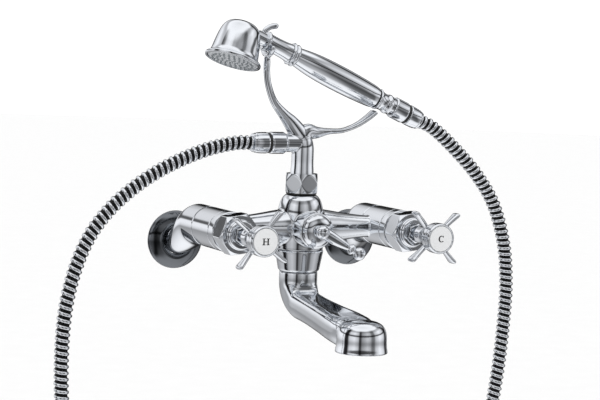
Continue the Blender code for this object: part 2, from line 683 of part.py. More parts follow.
def shower_head(handle_axis):
    """A domed bell with a flat spray face, on its own axis square to the face."""
    at = (HEAD_FACE[0], -COLUMN_OUT, UNION_RISE + HEAD_FACE[1])
    face = frame_at("head_face", at, (HEAD_ROLL, HEAD_TILT, 0))
    bell = turned("shower_head", [
        (0, 40.3), (8.0, 39.7), (14.0, 37.0), (18.0, 32.0), (21.0, 20.0), (22.8, 7.6), (23.8, 4.4),
        (27.0, 3.0), (26.9, 0.0), (24.7, 0.0), (24.7, 4.4), (21.6, 4.4), (20.4, 12.0), (18.2, 24.0),
        (15.4, 31.6), (11.0, 35.8), (0, 38.1),
    ][::-1], 16)
    place(bell, chrome("head chrome"), parent=face)
    cut(bell, place(rod("head_socket_bore", 6.7, -20.0, 4.0, 13), parent=handle_axis))
    seal = ring("spray_seal", 21.9, 24.3, 3.0, 4.1, 16)
    place(seal, rubber("spray seal"), parent=face)
    plate_outline = [(0, 0.6), (20.0, 0.6), (23.6, 0.2), (24.3, 0.9), (24.3, 2.7), (0, 2.7)]
    plate = turned("spray_plate", plate_outline, 16)
    place(plate, nylon("spray plate"), parent=face)


def grip_radius(z):
    """The grip swells from a slim throat to its fullest near the middle and eases in again."""
    t = (z - GRIP_START) / (GRIP_END - GRIP_START)
    swell = 3.4 * math.sin(math.pi * t ** 0.86) ** 0.8
    return 9.2 + swell + 1.6 * smoothstep((t - 0.35) / 0.6) * (1 - t ** 8)


def handset(axis):
    """The hand shower's handle, turned pieces on one axis that runs down to the hose."""
    neck = turned("handset_neck", [
        (4.8, -8.0), (6.4, -8.0), (6.4, 2.4), (9.5, 2.4), (9.4, 4.4), (8.2, 5.4), (8.0, 15.0),
        (8.8, 30.0), (4.8, 30.0),
    ], 16)
    place(neck, chrome("neck chrome"), parent=axis)
    moulding = turned("neck_moulding", [
        (5.6, 30.3), (9.4, 30.3), (11.2, 32.0), (10.0, 34.4), (11.2, 36.4), (9.6, 38.3), (5.6, 38.3),
    ], 16)
    place(moulding, chrome("moulding chrome"), parent=axis)
    stations = [mix(GRIP_START, GRIP_END, i / 8) for i in range(9)]
    outline = [(6.4, GRIP_START)] + [(grip_radius(z), z) for z in stations] + [(6.4, GRIP_END)]
    place(turned("grip", outline, 18), chrome("grip chrome"), parent=axis)
    seam = ring("grip_seam", 6.6, 9.0, GRIP_END + 0.3, GRIP_END + 1.7, 16)
    place(seam, rubber("grip seam"), parent=axis)
    collar = turned("handset_collar", [
        (4.4, 135.0), (10.4, 135.0), (10.4, 136.4), (8.8, 140.4), (8.7, 145.0), (9.8, 147.4),
        (9.2, HANDSET_SEAT), (6.8, HANDSET_SEAT),
        (6.8, HANDSET_SEAT + 10.2), (4.4, HANDSET_SEAT + 10.2),
    ], 16)
    place(collar, chrome("handset collar chrome"), parent=axis)


def handset_point(reach):
    """A world point on the handset's axis, in millimetres."""
    tilt = math.radians(HANDSET_TILT)
    x, z = HANDSET_START
    return x + reach * math.cos(tilt), -COLUMN_OUT, UNION_RISE + z - reach * math.sin(tilt)


def build():
    clear_scene()
    for side, sign in (("hot", -1), ("cold", 1)):
        flange(side, sign)
        eccentric_union(side, sign)
    mixer_body()
    valve_pieces("hot", -1, HOT_ARM_ANGLE)
    valve_pieces("cold", 1, COLD_ARM_ANGLE)
    diverter()
    spout()
    spout_fittings()
    riser_fittings()
    cradle()
    hose_end("lower_hose", (OUTLET_SEAT_X, -COLUMN_OUT, UNION_RISE + OUTLET_HEIGHT), (0, -90, 0))
    handset_axis = frame_at("handset_axis", handset_point(0), (0, 90.0 + HANDSET_TILT, 0))
    shower_head(handset_axis)
    handset(handset_axis)
    hose_end("upper_hose", handset_point(HANDSET_SEAT), (0, 90.0 + HANDSET_TILT, 0))
    hose()


build()
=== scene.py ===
# %% [markdown]
# # A wall mounted bath filler with a hand shower
#
# This script builds the looks of a chromed brass tap around its CAD model. The model gives every
# piece's place and size; here each visible piece is made again with rounder edges and finer curves,
# and gets a finish that is built from nodes. Lengths in the script are millimetres until a helper
# turns them to metres, because that is how a brass founder's drawing is dimensioned.

import math

import bmesh
import bpy
import numpy as np
from mathutils import Matrix, Vector


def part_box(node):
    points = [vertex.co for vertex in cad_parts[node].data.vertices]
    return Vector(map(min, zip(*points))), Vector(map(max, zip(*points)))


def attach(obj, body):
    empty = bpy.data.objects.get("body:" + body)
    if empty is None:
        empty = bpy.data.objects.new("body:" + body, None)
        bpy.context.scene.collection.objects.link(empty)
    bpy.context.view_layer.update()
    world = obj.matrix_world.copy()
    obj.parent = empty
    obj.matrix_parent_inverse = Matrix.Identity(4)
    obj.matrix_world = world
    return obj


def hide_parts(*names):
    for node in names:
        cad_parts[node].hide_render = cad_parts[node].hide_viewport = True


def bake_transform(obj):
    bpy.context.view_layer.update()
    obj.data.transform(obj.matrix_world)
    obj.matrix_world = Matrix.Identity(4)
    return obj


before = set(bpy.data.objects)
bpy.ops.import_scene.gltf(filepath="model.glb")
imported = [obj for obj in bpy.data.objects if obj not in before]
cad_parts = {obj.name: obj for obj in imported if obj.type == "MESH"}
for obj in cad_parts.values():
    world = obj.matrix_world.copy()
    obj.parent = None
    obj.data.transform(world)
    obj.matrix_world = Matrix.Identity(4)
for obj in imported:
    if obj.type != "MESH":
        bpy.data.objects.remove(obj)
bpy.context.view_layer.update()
MM = 0.001
print("CAD nodes:", len(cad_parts))


# %% [markdown]
# ## Places that the CAD model gives
#
# Every axis of the tap is read from the CAD nodes: the column in the middle, the two valves beside
# it and the spout's mouth. A turned piece is then drawn on its own axis, as on a lathe, and put there.

# %% The axes
def middle(node):
    """The centre of a CAD node's box, in millimetres."""
    low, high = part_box(node)
    return (low + high) / 2 / MM


COLUMN = middle("spout_collar").xy
VALVE_HEIGHT = middle("hot_bonnet_collar").z
CENTRE = Vector((COLUMN.x, COLUMN.y, VALVE_HEIGHT))
VALVES = {
    "hot": Vector((middle("hot_bonnet_collar").x, COLUMN.y, VALVE_HEIGHT)),
    "cold": Vector((middle("cold_bonnet_collar").x, COLUMN.y, VALVE_HEIGHT)),
}
OUTLET_OUT = COLUMN.y - middle("outlet_insert").y
print("column", tuple(round(v, 1) for v in CENTRE), "outlet stands out", round(OUTLET_OUT, 1))


def at_column(x, forward, up):
    """A point given across, forward of the column's plane and above the valves, in millimetres."""
    return CENTRE + Vector((x, -forward, up))


# %% [markdown]
# ## The camera
#
# The tap is seen from the hot side and a little above, with a long lens, so that the two handles look
# nearly the same size. The camera leans by two degrees, which tips the column to the right. It aims at
# a point on the column a little above the valves, to leave room for the hand shower.

# %% The camera
VIEW_AZIMUTH = -26.0
VIEW_ELEVATION = 5.0
VIEW_LEAN = 2.1
VIEW_DISTANCE = 1900.0
AIM = at_column(-1.0, 0.0, 26.0)
LENS_LENGTH = 118.3
FILM_WIDTH = 36.0
FARTHEST_SEEN = 50.0


def add_camera():
    azimuth, elevation = math.radians(VIEW_AZIMUTH), math.radians(VIEW_ELEVATION)
    away = Vector((
        math.sin(azimuth) * math.cos(elevation),
        -math.cos(azimuth) * math.cos(elevation),
        math.sin(elevation),
    ))
    data = bpy.data.cameras.new("camera")
    data.lens = LENS_LENGTH
    data.sensor_width = FILM_WIDTH
    data.clip_end = FARTHEST_SEEN
    camera = bpy.data.objects.new("camera", data)
    bpy.context.scene.collection.objects.link(camera)
    level = (-away).to_track_quat("-Z", "Y").to_matrix()
    lean = Matrix.Rotation(math.radians(VIEW_LEAN), 3, "Z")
    camera.matrix_world = Matrix.Translation((AIM + away * VIEW_DISTANCE) * MM) @ (level @ lean).to_4x4()
    bpy.context.scene.camera = camera
    return camera


camera = add_camera()
print("camera at", tuple(round(v, 3) for v in camera.matrix_world.translation))


# %% [markdown]
# ## Helpers for finishes
#
# A colour is written as the sRGB hex value that a paint chart would give, and one function turns it
# to the linear values that the renderer works in. Another adds a node with its settings and its links.
# Three more do what nearly every finish needs, which is fine relief, soft patches and a drift between
# two shades, so that each finish below reads as a short list of what happens to the surface.

# %% Colour and node helpers
def linear(hex_color):
    channels = [int(hex_color[i:i + 2], 16) / 255 for i in (1, 3, 5)]
    return tuple(c / 12.92 if c <= 0.04045 else ((c + 0.055) / 1.055) ** 2.4 for c in channels)


def node(tree, kind, settings=(), links=(), values=()):
    """Adds a node. links are (input, output socket) pairs, values are (input, value) pairs."""
    made = tree.nodes.new(kind)
    for key, value in dict(settings).items():
        setattr(made, key, value)
    for key, value in values:
        made.inputs[key].default_value = value
    for key, socket in links:
        tree.links.new(socket, made.inputs[key])
    return made


def new_finish(name, color, metallic, roughness):
    """A material with its plain values set on the shader; what varies is linked to it afterwards."""
    material = bpy.data.materials.new(name)
    material.use_nodes = True
    shader = material.node_tree.nodes["Principled BSDF"]
    shader.inputs["Base Color"].default_value = (*linear(color), 1.0)
    shader.inputs["Metallic"].default_value = metallic
    shader.inputs["Roughness"].default_value = roughness
    return material, material.node_tree, shader


def place_coords(tree):
    """Where a point is on the piece, in metres, whatever the piece's shape."""
    return node(tree, "ShaderNodeTexCoord").outputs["Object"]


def raised(tree, shader, height, strength, depth):
    """Relief too fine to model: a height from 0 to 1 that stands for a depth in metres."""
    bump = node(tree, "ShaderNodeBump", links=[("Height", height)],
                values=[("Strength", strength), ("Distance", depth)])
    tree.links.new(bump.outputs["Normal"], shader.inputs["Normal"])


def patches(tree, size, detail):
    """Soft patches of a size in metres, as a value from 0 to 1."""
    made = node(tree, "ShaderNodeTexNoise", links=[("Vector", place_coords(tree))],
                values=[("Scale", 1 / size), ("Detail", detail)])
    return made.outputs["Fac"]


def two_tone(tree, shader, share, first, second):
    """A base colour that goes from the first shade to the second by a share from 0 to 1."""
    tone = node(tree, "ShaderNodeMix", settings={"data_type": "RGBA"}, links=[(0, share)],
                values=[(6, (*linear(first), 1)), (7, (*linear(second), 1))])
    tree.links.new(tone.outputs[2], shader.inputs["Base Color"])


# %% [markdown]
# ## Chrome plate
#
# Nearly all of the tap is cast or turned brass under bright chromium plate. Chrome is a cool, slightly
# dark mirror: it gives back about two thirds of the light, a little more of the blue. A polished
# casting is never dead flat. The buffing wheel leaves slow waves a few centimetres long that bend the
# reflections, and water leaves faint dull spots. Both are drawn here, waves in the bump and spots in
# the roughness.

# %% Chrome
CHROME_COLOR = "#D9DCE0"
BRIGHTEST = 0.045
DULLEST = 0.11


def chrome_plate(name, wave_depth=0.00006, color=CHROME_COLOR):
    material, tree, shader = new_finish(name, color, 1.0, BRIGHTEST)
    coords = place_coords(tree)
    # Waves from hand buffing, about 25 mm from crest to crest.
    waves = node(tree, "ShaderNodeTexNoise", links=[("Vector", coords)],
                 values=[("Scale", 1 / 0.025), ("Detail", 1.0), ("Roughness", 0.4)])
    raised(tree, shader, waves.outputs["Fac"], 0.5, wave_depth)
    # Dull spots left by drops, about 9 mm across.
    spots = node(tree, "ShaderNodeTexNoise", links=[("Vector", coords)],
                 values=[("Scale", 1 / 0.009), ("Detail", 3.0), ("Roughness", 0.55)])
    spread = node(tree, "ShaderNodeMapRange", links=[("Value", spots.outputs["Fac"])],
                  values=[("From Min", 0.45), ("From Max", 0.75), ("To Min", BRIGHTEST), ("To Max", DULLEST)])
    tree.links.new(spread.outputs["Result"], shader.inputs["Roughness"])
    return material


chrome = chrome_plate("polished_chrome_plate")
chrome_of_casting = chrome_plate("chrome_on_buffed_casting", wave_depth=0.00012)
# The roses get a darker chrome colour: painted shade that stands for the dark reflection they show.
rose_chrome_with_painted_shade = chrome_plate("chrome_darkened_as_painted_shade", color="#6A6D71")
print("chrome finishes made")


# %% [markdown]
# ## Bare brass, rubber, ceramic and nylon
#
# Some pieces are not plated. The handles' screws and the diverter's rotor are turned brass with fine
# tool rings. Seals are black moulded rubber with a dry bloom. The valves' discs are ground alumina, and
# the spray plate and the straightener in the spout are light grey moulded nylon.

# %% The other finishes
def turned_brass(name):
    """Free cutting brass off the lathe: yellow, with tool rings about 0.4 mm apart."""
    material, tree, shader = new_finish(name, "#C9A766", 1.0, 0.3)
    rings = node(tree, "ShaderNodeTexWave", settings={"bands_direction": "Y"},
                 links=[("Vector", place_coords(tree))],
                 values=[("Scale", 1 / 0.0025), ("Distortion", 0.4), ("Detail", 2.0)])
    raised(tree, shader, rings.outputs["Fac"], 0.3, 0.00003)
    two_tone(tree, shader, patches(tree, 0.006, 4.0), "#C9A766", "#A98347")
    return material


def moulded_rubber(name):
    """Black EPDM rubber: near black, dry, with a faint grey bloom in soft patches 4 mm across."""
    material, tree, shader = new_finish(name, "#151515", 0.0, 0.5)
    two_tone(tree, shader, patches(tree, 0.004, 3.0), "#0E0E0E", "#242423")
    raised(tree, shader, patches(tree, 0.0006, 2.0), 0.25, 0.00004)
    return material


def ground_ceramic(name):
    """Ground and lapped alumina: warm white, smooth, with a fine dry speckle under 1 mm."""
    material, tree, shader = new_finish(name, "#EFEBE2", 0.0, 0.22)
    two_tone(tree, shader, patches(tree, 0.0008, 4.0), "#E4DFD4", "#F7F4EE")
    return material


def moulded_nylon(name, color, dark):
    """Moulded nylon: half gloss with a fine spark-eroded grain of about 0.5 mm and slight mottling."""
    material, tree, shader = new_finish(name, color, 0.0, 0.32)
    two_tone(tree, shader, patches(tree, 0.012, 3.0), dark, color)
    raised(tree, shader, patches(tree, 0.0005, 2.0), 0.2, 0.00003)
    return material


brass = turned_brass("turned_brass")
rubber = moulded_rubber("black_epdm_rubber")
ceramic = ground_ceramic("ground_alumina")
nylon = moulded_nylon("light_grey_nylon", "#C9CCCF", "#B9BCC0")
nozzle_rubber = moulded_nylon("pale_silicone_nozzles", "#8E9397", "#7C8185")
print("finishes:", len(bpy.data.materials))


# %% [markdown]
# ## Mesh helpers: the lathe
#
# Most of a tap is turned. The lathe takes an outline of (radius, height) points and spins it about its
# own Z axis. A real turned corner is never sharp, and a mirror finish shows it: a small round catches a
# bright line. So a point may carry a third number, the radius of its corner, which becomes a short
# curve. Each piece is then stood on its axis with a place and a direction.

# %% Rounded corners
CORNER_STEPS = 5


def rounded(outline, closed):
    """The outline with every corner that carries a radius turned into a short curve."""
    points = []
    count = len(outline)
    for i, corner in enumerate(outline):
        here = np.array(corner[:2], float)
        radius = corner[2] if len(corner) > 2 else 0.0
        if radius <= 0.0 or (not closed and i in (0, count - 1)):
            points.append(here)
            continue
        before = np.array(outline[i - 1][:2], float)
        after = np.array(outline[(i + 1) % count][:2], float)
        to_before, to_after = before - here, after - here
        near = min(radius, np.linalg.norm(to_before) * 0.45, np.linalg.norm(to_after) * 0.45)
        start = here + to_before / np.linalg.norm(to_before) * near
        end = here + to_after / np.linalg.norm(to_after) * near
        for k in range(CORNER_STEPS + 1):
            t = k / CORNER_STEPS
            points.append(start * (1 - t) ** 2 + here * 2 * t * (1 - t) + end * t * t)
    return points


# %% Meshes from rows of points
def in_scene(name, mesh):
    obj = bpy.data.objects.new(name, mesh)
    bpy.context.scene.collection.objects.link(obj)
    return obj


def mesh_object(name, verts, faces, sharp=40.0):
    """A smooth shaded mesh whose edges stay sharp where they turn by more than an angle in degrees."""
    mesh = bpy.data.meshes.new(name)
    mesh.from_pydata([tuple(v) for v in verts], [], faces)
    made = bmesh.new()
    made.from_mesh(mesh)
    bmesh.ops.remove_doubles(made, verts=made.verts, dist=1e-7)
    bmesh.ops.recalc_face_normals(made, faces=made.faces)
    made.to_mesh(mesh)
    made.free()
    mesh.shade_smooth()
    mesh.set_sharp_from_angle(angle=math.radians(sharp))
    return in_scene(name, mesh)


def circle(radius, height, steps):
    """Points round Z, in metres, at a radius and a height given in millimetres."""
    angles = [math.tau * k / steps for k in range(steps)]
    return [(radius * MM * math.cos(a), radius * MM * math.sin(a), height * MM) for a in angles]


def bands(rows, around, closed=False):
    """Four sided faces between neighbouring rows of points that run round a piece."""
    faces = []
    for i in range(rows if closed else rows - 1):
        j = (i + 1) % rows
        for k in range(around):
            m = (k + 1) % around
            faces.append((i * around + k, i * around + m, j * around + m, j * around + k))
    return faces


def end_caps(rows, around):
    """One face over the first row and one over the last."""
    return [tuple(reversed(range(around))), tuple(range((rows - 1) * around, rows * around))]


# %% The lathe and the skin
def stand(at, direction=(0, 0, 1), spin=0.0):
    """A matrix that stands a piece's Z along a direction at a point given in millimetres."""
    turn = Vector(direction).to_track_quat("Z", "Y").to_matrix().to_4x4()
    return Matrix.Translation(Vector(at) * MM) @ turn @ Matrix.Rotation(math.radians(spin), 4, "Z")


def lathe(name, outline, where=Matrix.Identity(4), steps=128):
    """Spins an outline of (radius, height[, corner radius]) about Z. Off the axis it is a closed loop."""
    closed = outline[0][0] > 0.0
    loop = rounded(outline, closed)
    verts = [point for r, z in loop for point in circle(r, z, steps)]
    made = mesh_object(name, verts, bands(len(loop), steps, closed))
    made.data.transform(where)
    return made


def skin(name, rings, where=Matrix.Identity(4)):
    """A closed skin over rings of points in millimetres."""
    size = len(rings), len(rings[0])
    verts = [Vector(p) * MM for ring in rings for p in ring]
    made = mesh_object(name, verts, bands(*size) + end_caps(*size))
    made.data.transform(where)
    return made


def fitted(obj, finish, body, replaced):
    """Gives a piece its finish, hangs it on its CAD body and hides the CAD node that it stands for."""
    obj.data.materials.clear()
    obj.data.materials.append(finish)
    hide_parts(*([replaced] if isinstance(replaced, str) else replaced))
    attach(obj, body)
    return obj


# %% [markdown]
# ## Mesh helpers: the foundry
#
# A casting has no sharp inner corners: where two forms meet there is a fillet, because the wax or sand
# pattern has one. That is easiest from volume. The forms are turned or skinned one by one, laid over
# each other, remeshed into one skin at a fine voxel size, and then relaxed, which rounds every corner
# a little, as tumbling and buffing do.

# %% The foundry
CUT_EDGE = 38.0


def add_cut(obj, cutter):
    cut = obj.modifiers.new("opening", "BOOLEAN")
    cut.operation, cut.solver, cut.object = "DIFFERENCE", "EXACT", cutter


def apply_modifiers(obj, used):
    """Turns the modifiers into plain mesh, then clears away the helper pieces that went into it."""
    applied = bpy.data.meshes.new_from_object(obj.evaluated_get(bpy.context.evaluated_depsgraph_get()))
    obj.modifiers.clear()
    obj.data = applied
    for piece in used:
        bpy.data.objects.remove(piece)


def joined_mesh(name, objects):
    """One mesh that holds a copy of every object's mesh."""
    every = bmesh.new()
    for obj in objects:
        every.from_mesh(obj.data)
    mesh = bpy.data.meshes.new(name)
    every.to_mesh(mesh)
    every.free()
    return mesh


def casting(name, forms, voxel=0.5, relax=10, cutters=()):
    """Melts overlapping forms into one skin with small fillets, then cuts its openings."""
    obj = in_scene(name, joined_mesh(name, forms))
    remesh = obj.modifiers.new("one skin", "REMESH")
    remesh.mode = "VOXEL"
    remesh.voxel_size = voxel * MM * 1.0
    remesh.use_smooth_shade = True
    smooth = obj.modifiers.new("fillets", "SMOOTH")
    smooth.factor = 0.5
    smooth.iterations = relax
    for cutter in cutters:
        add_cut(obj, cutter)
    apply_modifiers(obj, (*forms, *cutters))
    obj.data.shade_smooth()
    if cutters:
        obj.data.set_sharp_from_angle(angle=math.radians(CUT_EDGE))
    print(name, "cast with", len(obj.data.polygons), "faces")
    return obj


# %% Smooth curves between stations
def smoothstep(t):
    t = min(max(t, 0.0), 1.0)
    return t * t * (3.0 - 2.0 * t)


def mix(a, b, t):
    return a + (b - a) * t


def curve_through(points, steps):
    """The given points with smooth in-between ones added, as a flexible ruler would draw them."""
    padded = [points[0] * 2 - points[1], *points, points[-1] * 2 - points[-2]]
    fine = []
    for p0, p1, p2, p3 in zip(padded, padded[1:], padded[2:], padded[3:]):
        for k in range(steps):
            t = k / steps
            fine.append(0.5 * (2 * p1 + (p2 - p0) * t + (2 * p0 - 5 * p1 + 4 * p2 - p3) * t * t
                               + (3 * p1 - p0 - 3 * p2 + p3) * t * t * t))
    return [*fine, points[-1]]


def between(table, x):
    """Reads a value off a short list of (position, value) pairs, on a smooth curve between them."""
    xs = [row[0] for row in table]
    ys = [row[1] for row in table]
    if x <= xs[0]:
        return ys[0]
    if x >= xs[-1]:
        return ys[-1]
    slopes = np.gradient(np.array(ys, float), np.array(xs, float))
    i = max(k for k, start in enumerate(xs[:-1]) if start <= x)
    span = xs[i + 1] - xs[i]
    t = (x - xs[i]) / span
    return (ys[i] * (1 + 2 * t) * (1 - t) ** 2 + slopes[i] * span * t * (1 - t) ** 2
            + ys[i + 1] * t * t * (3 - 2 * t) + slopes[i + 1] * span * t * t * (t - 1))


# %% [markdown]
# ## The hose
#
# A shower hose is a rubber tube inside a wound metal strip. The strip is folded so that each turn locks
# over the next, which lets it bend but not kink: the eye sees bright round ribs with dark gaps between
# them. This one is 14 mm thick and 1.5 m long. It leaves the outlet on the hot side level, hangs in one
# free loop below the tap, and comes up on the cold side into the hand shower's end. The route is the
# CAD model's, and the ribs are drawn into the tube's own radius, 6 mm from rib to rib.

# %% The hose's route
HOSE_DIAMETER = 14.0
RIB_PITCH = 6.0
RIB_GAP = 2.8
RIB_FALL = 0.9
GROOVE_DEPTH = 1.5
# The centre line has a point every half millimetre, and the cord's path takes every twelfth.
LINE_SPACING = 0.5
PATH_STEP = 12
HOSE_ROUTE = [
    (-54.9, 0, 81), (-72, 0, 80.5), (-98, 0, 75), (-124, 0, 65.5), (-149, 0, 53.5), (-173, 0, 38),
    (-195, 0, 19), (-213, 0, -4), (-226, 0, -32), (-235, 0, -68), (-238, 1, -110), (-236, 3, -161),
    (-229, 6, -215), (-215, 9, -271), (-193, 12, -324), (-162, 14, -374), (-122, 16, -416),
    (-75, 17, -446), (-25, 17, -462), (27, 17, -461), (77, 16, -443), (122, 14, -412),
    (159, 12, -369), (188, 9, -319), (209, 6, -265), (223, 3, -210), (231, 1, -154),
    (235, 0, -102), (236, 0, -60), (231, 0, -20), (217, 0, 20), (195, 0, 51),
    (168, 0, 77), (143, 0, 96.8), (127.2, 0, 103.7),
]


# %% A tube along a path
def smooth_path(points, spacing):
    """Evenly spaced points, in millimetres, along a smooth curve through the given ones."""
    line = np.array([tuple(p) for p in curve_through(points, 60)])
    reach = np.concatenate([[0.0], np.cumsum(np.linalg.norm(np.diff(line, axis=0), axis=1))])
    count = max(int(round(reach[-1] / spacing)), 2)
    want = np.linspace(0.0, reach[-1], count + 1)
    return np.stack([np.interp(want, reach, line[:, axis]) for axis in range(3)], axis=1), reach[-1]


def tube_frames(line):
    """Two directions square to the line at each of its points, carried along without twist."""
    ahead = np.gradient(line, axis=0)
    ahead /= np.linalg.norm(ahead, axis=1)[:, None]
    side = np.cross(ahead[0], (0.0, 1.0, 0.0))
    sides = []
    for direction in ahead:
        side = side - direction * side.dot(direction)
        side /= np.linalg.norm(side)
        sides.append(side)
    sides = np.array(sides)
    return sides, np.cross(ahead, sides)


# %% The hose's ribs
def rib_radius(along):
    """The hose's radius a given way along it: a rounded rib, then a groove down to the inner tube."""
    place = along % RIB_PITCH
    rib = RIB_PITCH - RIB_GAP
    if place > rib:
        return HOSE_DIAMETER / 2 - GROOVE_DEPTH
    across = abs(place / rib * 2 - 1)
    return HOSE_DIAMETER / 2 - RIB_FALL * across ** 3.2


def build_hose(around=40):
    """The hose, and a coarser list of points along its centre line, in metres."""
    route = [Vector(CENTRE) + Vector(point) for point in HOSE_ROUTE]
    line, length = smooth_path(route, LINE_SPACING)
    sides, ups = tube_frames(line)
    turns = np.arange(around) * math.tau / around
    rim = (np.cos(turns)[None, :, None] * sides[:, None, :]
           + np.sin(turns)[None, :, None] * ups[:, None, :])
    step = length / (len(line) - 1)
    # The strip is wound, so a rib climbs by one pitch in each turn round the hose.
    reach = np.arange(len(line))[:, None] * step + turns[None, :] / math.tau * RIB_PITCH
    radius = np.vectorize(rib_radius)(reach)
    verts = (line[:, None, :] + rim * radius[:, :, None]).reshape(-1, 3) * MM
    faces = bands(len(line), around) + end_caps(len(line), around)
    mesh = bpy.data.meshes.new("shower_hose")
    mesh.from_pydata(verts.tolist(), [], faces)
    mesh.shade_smooth()
    # The groove's depth from 0 to 1, which the finish turns into painted shade.
    depth = 1.0 - (radius.reshape(-1) - radius.min()) / (radius.max() - radius.min())
    groove = mesh.attributes.new("groove", "FLOAT", "POINT")
    groove.data.foreach_set("value", depth.astype(np.float32))
    print("hose", round(length * MM, 3), "m long,", len(faces), "faces")
    return in_scene("shower_hose", mesh), line[::PATH_STEP] * MM


# %% The hose's finish
def wound_strip(name):
    """Stainless strip, roll formed and wound: bright on the ribs, with black painted shade down in the
    grooves and over the ribs' shoulders.
    """
    material, tree, shader = new_finish(name, CHROME_COLOR, 1.0, 0.12)
    groove = node(tree, "ShaderNodeAttribute", settings={"attribute_name": "groove"})
    # Painted shade: from the ribs' shoulders down into the grooves the colour turns black and stops being
    # metal, standing for the shade in the grooves.
    groove_shade = node(tree, "ShaderNodeMapRange", links=[("Value", groove.outputs["Fac"])],
                values=[("From Min", 0.42), ("From Max", 0.6), ("To Min", 0.0), ("To Max", 1.0)])
    two_tone(tree, shader, groove_shade.outputs["Result"], "#DADDE1", "#0B0B0C")
    unshaded_metal = node(tree, "ShaderNodeMath", settings={"operation": "SUBTRACT"}, values=[(0, 1.0)],
                links=[(1, groove_shade.outputs["Result"])])
    tree.links.new(unshaded_metal.outputs[0], shader.inputs["Metallic"])
    rough = node(tree, "ShaderNodeMapRange", links=[("Value", patches(tree, 0.003, 3.0))],
                 values=[("From Min", 0.3), ("From Max", 0.8), ("To Min", 0.08), ("To Max", 0.2)])
    tree.links.new(rough.outputs["Result"], shader.inputs["Roughness"])
    shader.inputs["Specular IOR Level"].default_value = 0.15
    return material


hose, hose_line = build_hose()
hose.data.materials.append(wound_strip("wound_steel_strip"))
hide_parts("hose")


# %% [markdown]
# ## The wall side: roses and eccentric unions
#
# Two pipes come out of the wall a little further apart than the tap's valves. An eccentric union has
# its two ends on different axes, so turning it takes up the difference. A rose, a shallow turned cup,
# slides over it and hides the hole in the wall. The union is skinned from round sections that stand
# square to the pipe. Its tail carries a pipe thread, cut as a true helix of 1.8 mm pitch.

# %% Sizes on the wall side
INLETS = {side: Vector((middle(f"{side}_wall_flange").x, 0.0, middle(f"{side}_wall_flange").z))
          for side in VALVES}
UNION_START = 8.0
UNION_RUN = 38.0
# The union ends 10.7 mm behind the valves' axes, just short of the barrel.
UNION_END = -COLUMN.y - 10.7
UNION_RADII = (13.0, 19.3)
UNION_SWELL = 30.0
UNION_LIP = 0.7
TAIL_START = -14.0
LEAD_IN = -13.0
THREAD_END = -1.5
CRANK_START = -1.0
CRANK_STOP = 0.9
THREAD_PITCH = 1.8
THREAD_DEPTH = 0.9


def out_of_wall(at, spin=0.0):
    """Stands a piece's Z straight out of the wall, towards -Y, with its X across and its Y up."""
    turn = Matrix.Rotation(math.radians(90), 4, "X") @ Matrix.Rotation(math.radians(spin), 4, "Z")
    return Matrix.Translation(Vector(at) * MM) @ turn


# %% Roses
def build_rose(side):
    outline = [
        (13.4, 0.0), (28.5, 0.0, 0.3), (28.5, 1.9, 0.8), (27.2, 3.6, 2.0), (23.4, 6.0, 6.0),
        (18.4, 8.5, 1.2), (16.4, 8.7, 0.8), (15.4, 7.6, 0.8), (13.4, 6.6),
    ]
    rose = lathe(f"{side}_rose", outline, out_of_wall(INLETS[side]), 160)
    # The rose's chrome is darkened as painted shade.
    return fitted(rose, rose_chrome_with_painted_shade, "tap", f"{side}_wall_flange")


# %% Unions
def union_section(side, out, around=96):
    """One section of the union. On the tail the radius follows the thread's helix."""
    t = smoothstep((out - UNION_START) / UNION_RUN)
    centre = INLETS[side].lerp(VALVES[side], t)
    points = []
    for k in range(around):
        angle = math.tau * k / around
        radius = mix(*UNION_RADII, smoothstep((out - UNION_START) / UNION_SWELL))
        if out < THREAD_END:
            turn = (out / THREAD_PITCH + k / around) % 1.0
            radius -= THREAD_DEPTH * (1 - abs(2 * turn - 1)) * smoothstep((THREAD_END - out) / 1.2)
        if out < LEAD_IN:
            radius -= (LEAD_IN - out) * 1.1
        if out > UNION_END - UNION_LIP:
            radius -= (out - UNION_END + UNION_LIP) * 0.9
        points.append((centre.x + radius * math.cos(angle), -out, centre.z + radius * math.sin(angle)))
    return points


def build_union(side):
    # Sections lie close together on the threaded tail and at the lip.
    tail = [TAIL_START + THREAD_PITCH / 8 * i for i in range(56)]
    crank = [CRANK_START + (UNION_END - CRANK_STOP - CRANK_START) * i / 90 for i in range(91)]
    lip = [UNION_END - back for back in (UNION_LIP, 0.5, 0.3, 0.1, 0.0)]
    sections = [union_section(side, out) for out in tail + crank + lip]
    union = skin(f"{side}_eccentric_pipe_union", sections)
    bore = lathe("tail_bore", [(0, -20), (7.5, -20), (7.5, -6), (0, -6)], out_of_wall(INLETS[side]), 64)
    add_cut(union, bore)
    apply_modifiers(union, [bore])
    return fitted(union, chrome_of_casting, "tap", f"{side}_eccentric_union")


for side in VALVES:
    build_rose(side)
    build_union(side)


# %% [markdown]
# ## The mixer body
#
# The body is one hollow brass casting: a domed column in the middle, two arms that swell into it, and a
# barrel on the end of each arm. Each form is turned by itself and then cast together, so that soft
# fillets run round where an arm meets a barrel. The boss in front takes the diverter.

# %% The body casting
BARREL_BACK = -10.4
BARREL_FRONT = 29.0
BARREL_RADIUS = 19.3
# Radius of an arm at distances from the column's axis.
ARM_SWELL = [(6.0, 17.6), (22.0, 17.1), (31.0, 15.8), (42.0, 14.0), (56.0, 12.1), (70.0, 10.7), (86.0, 9.9)]


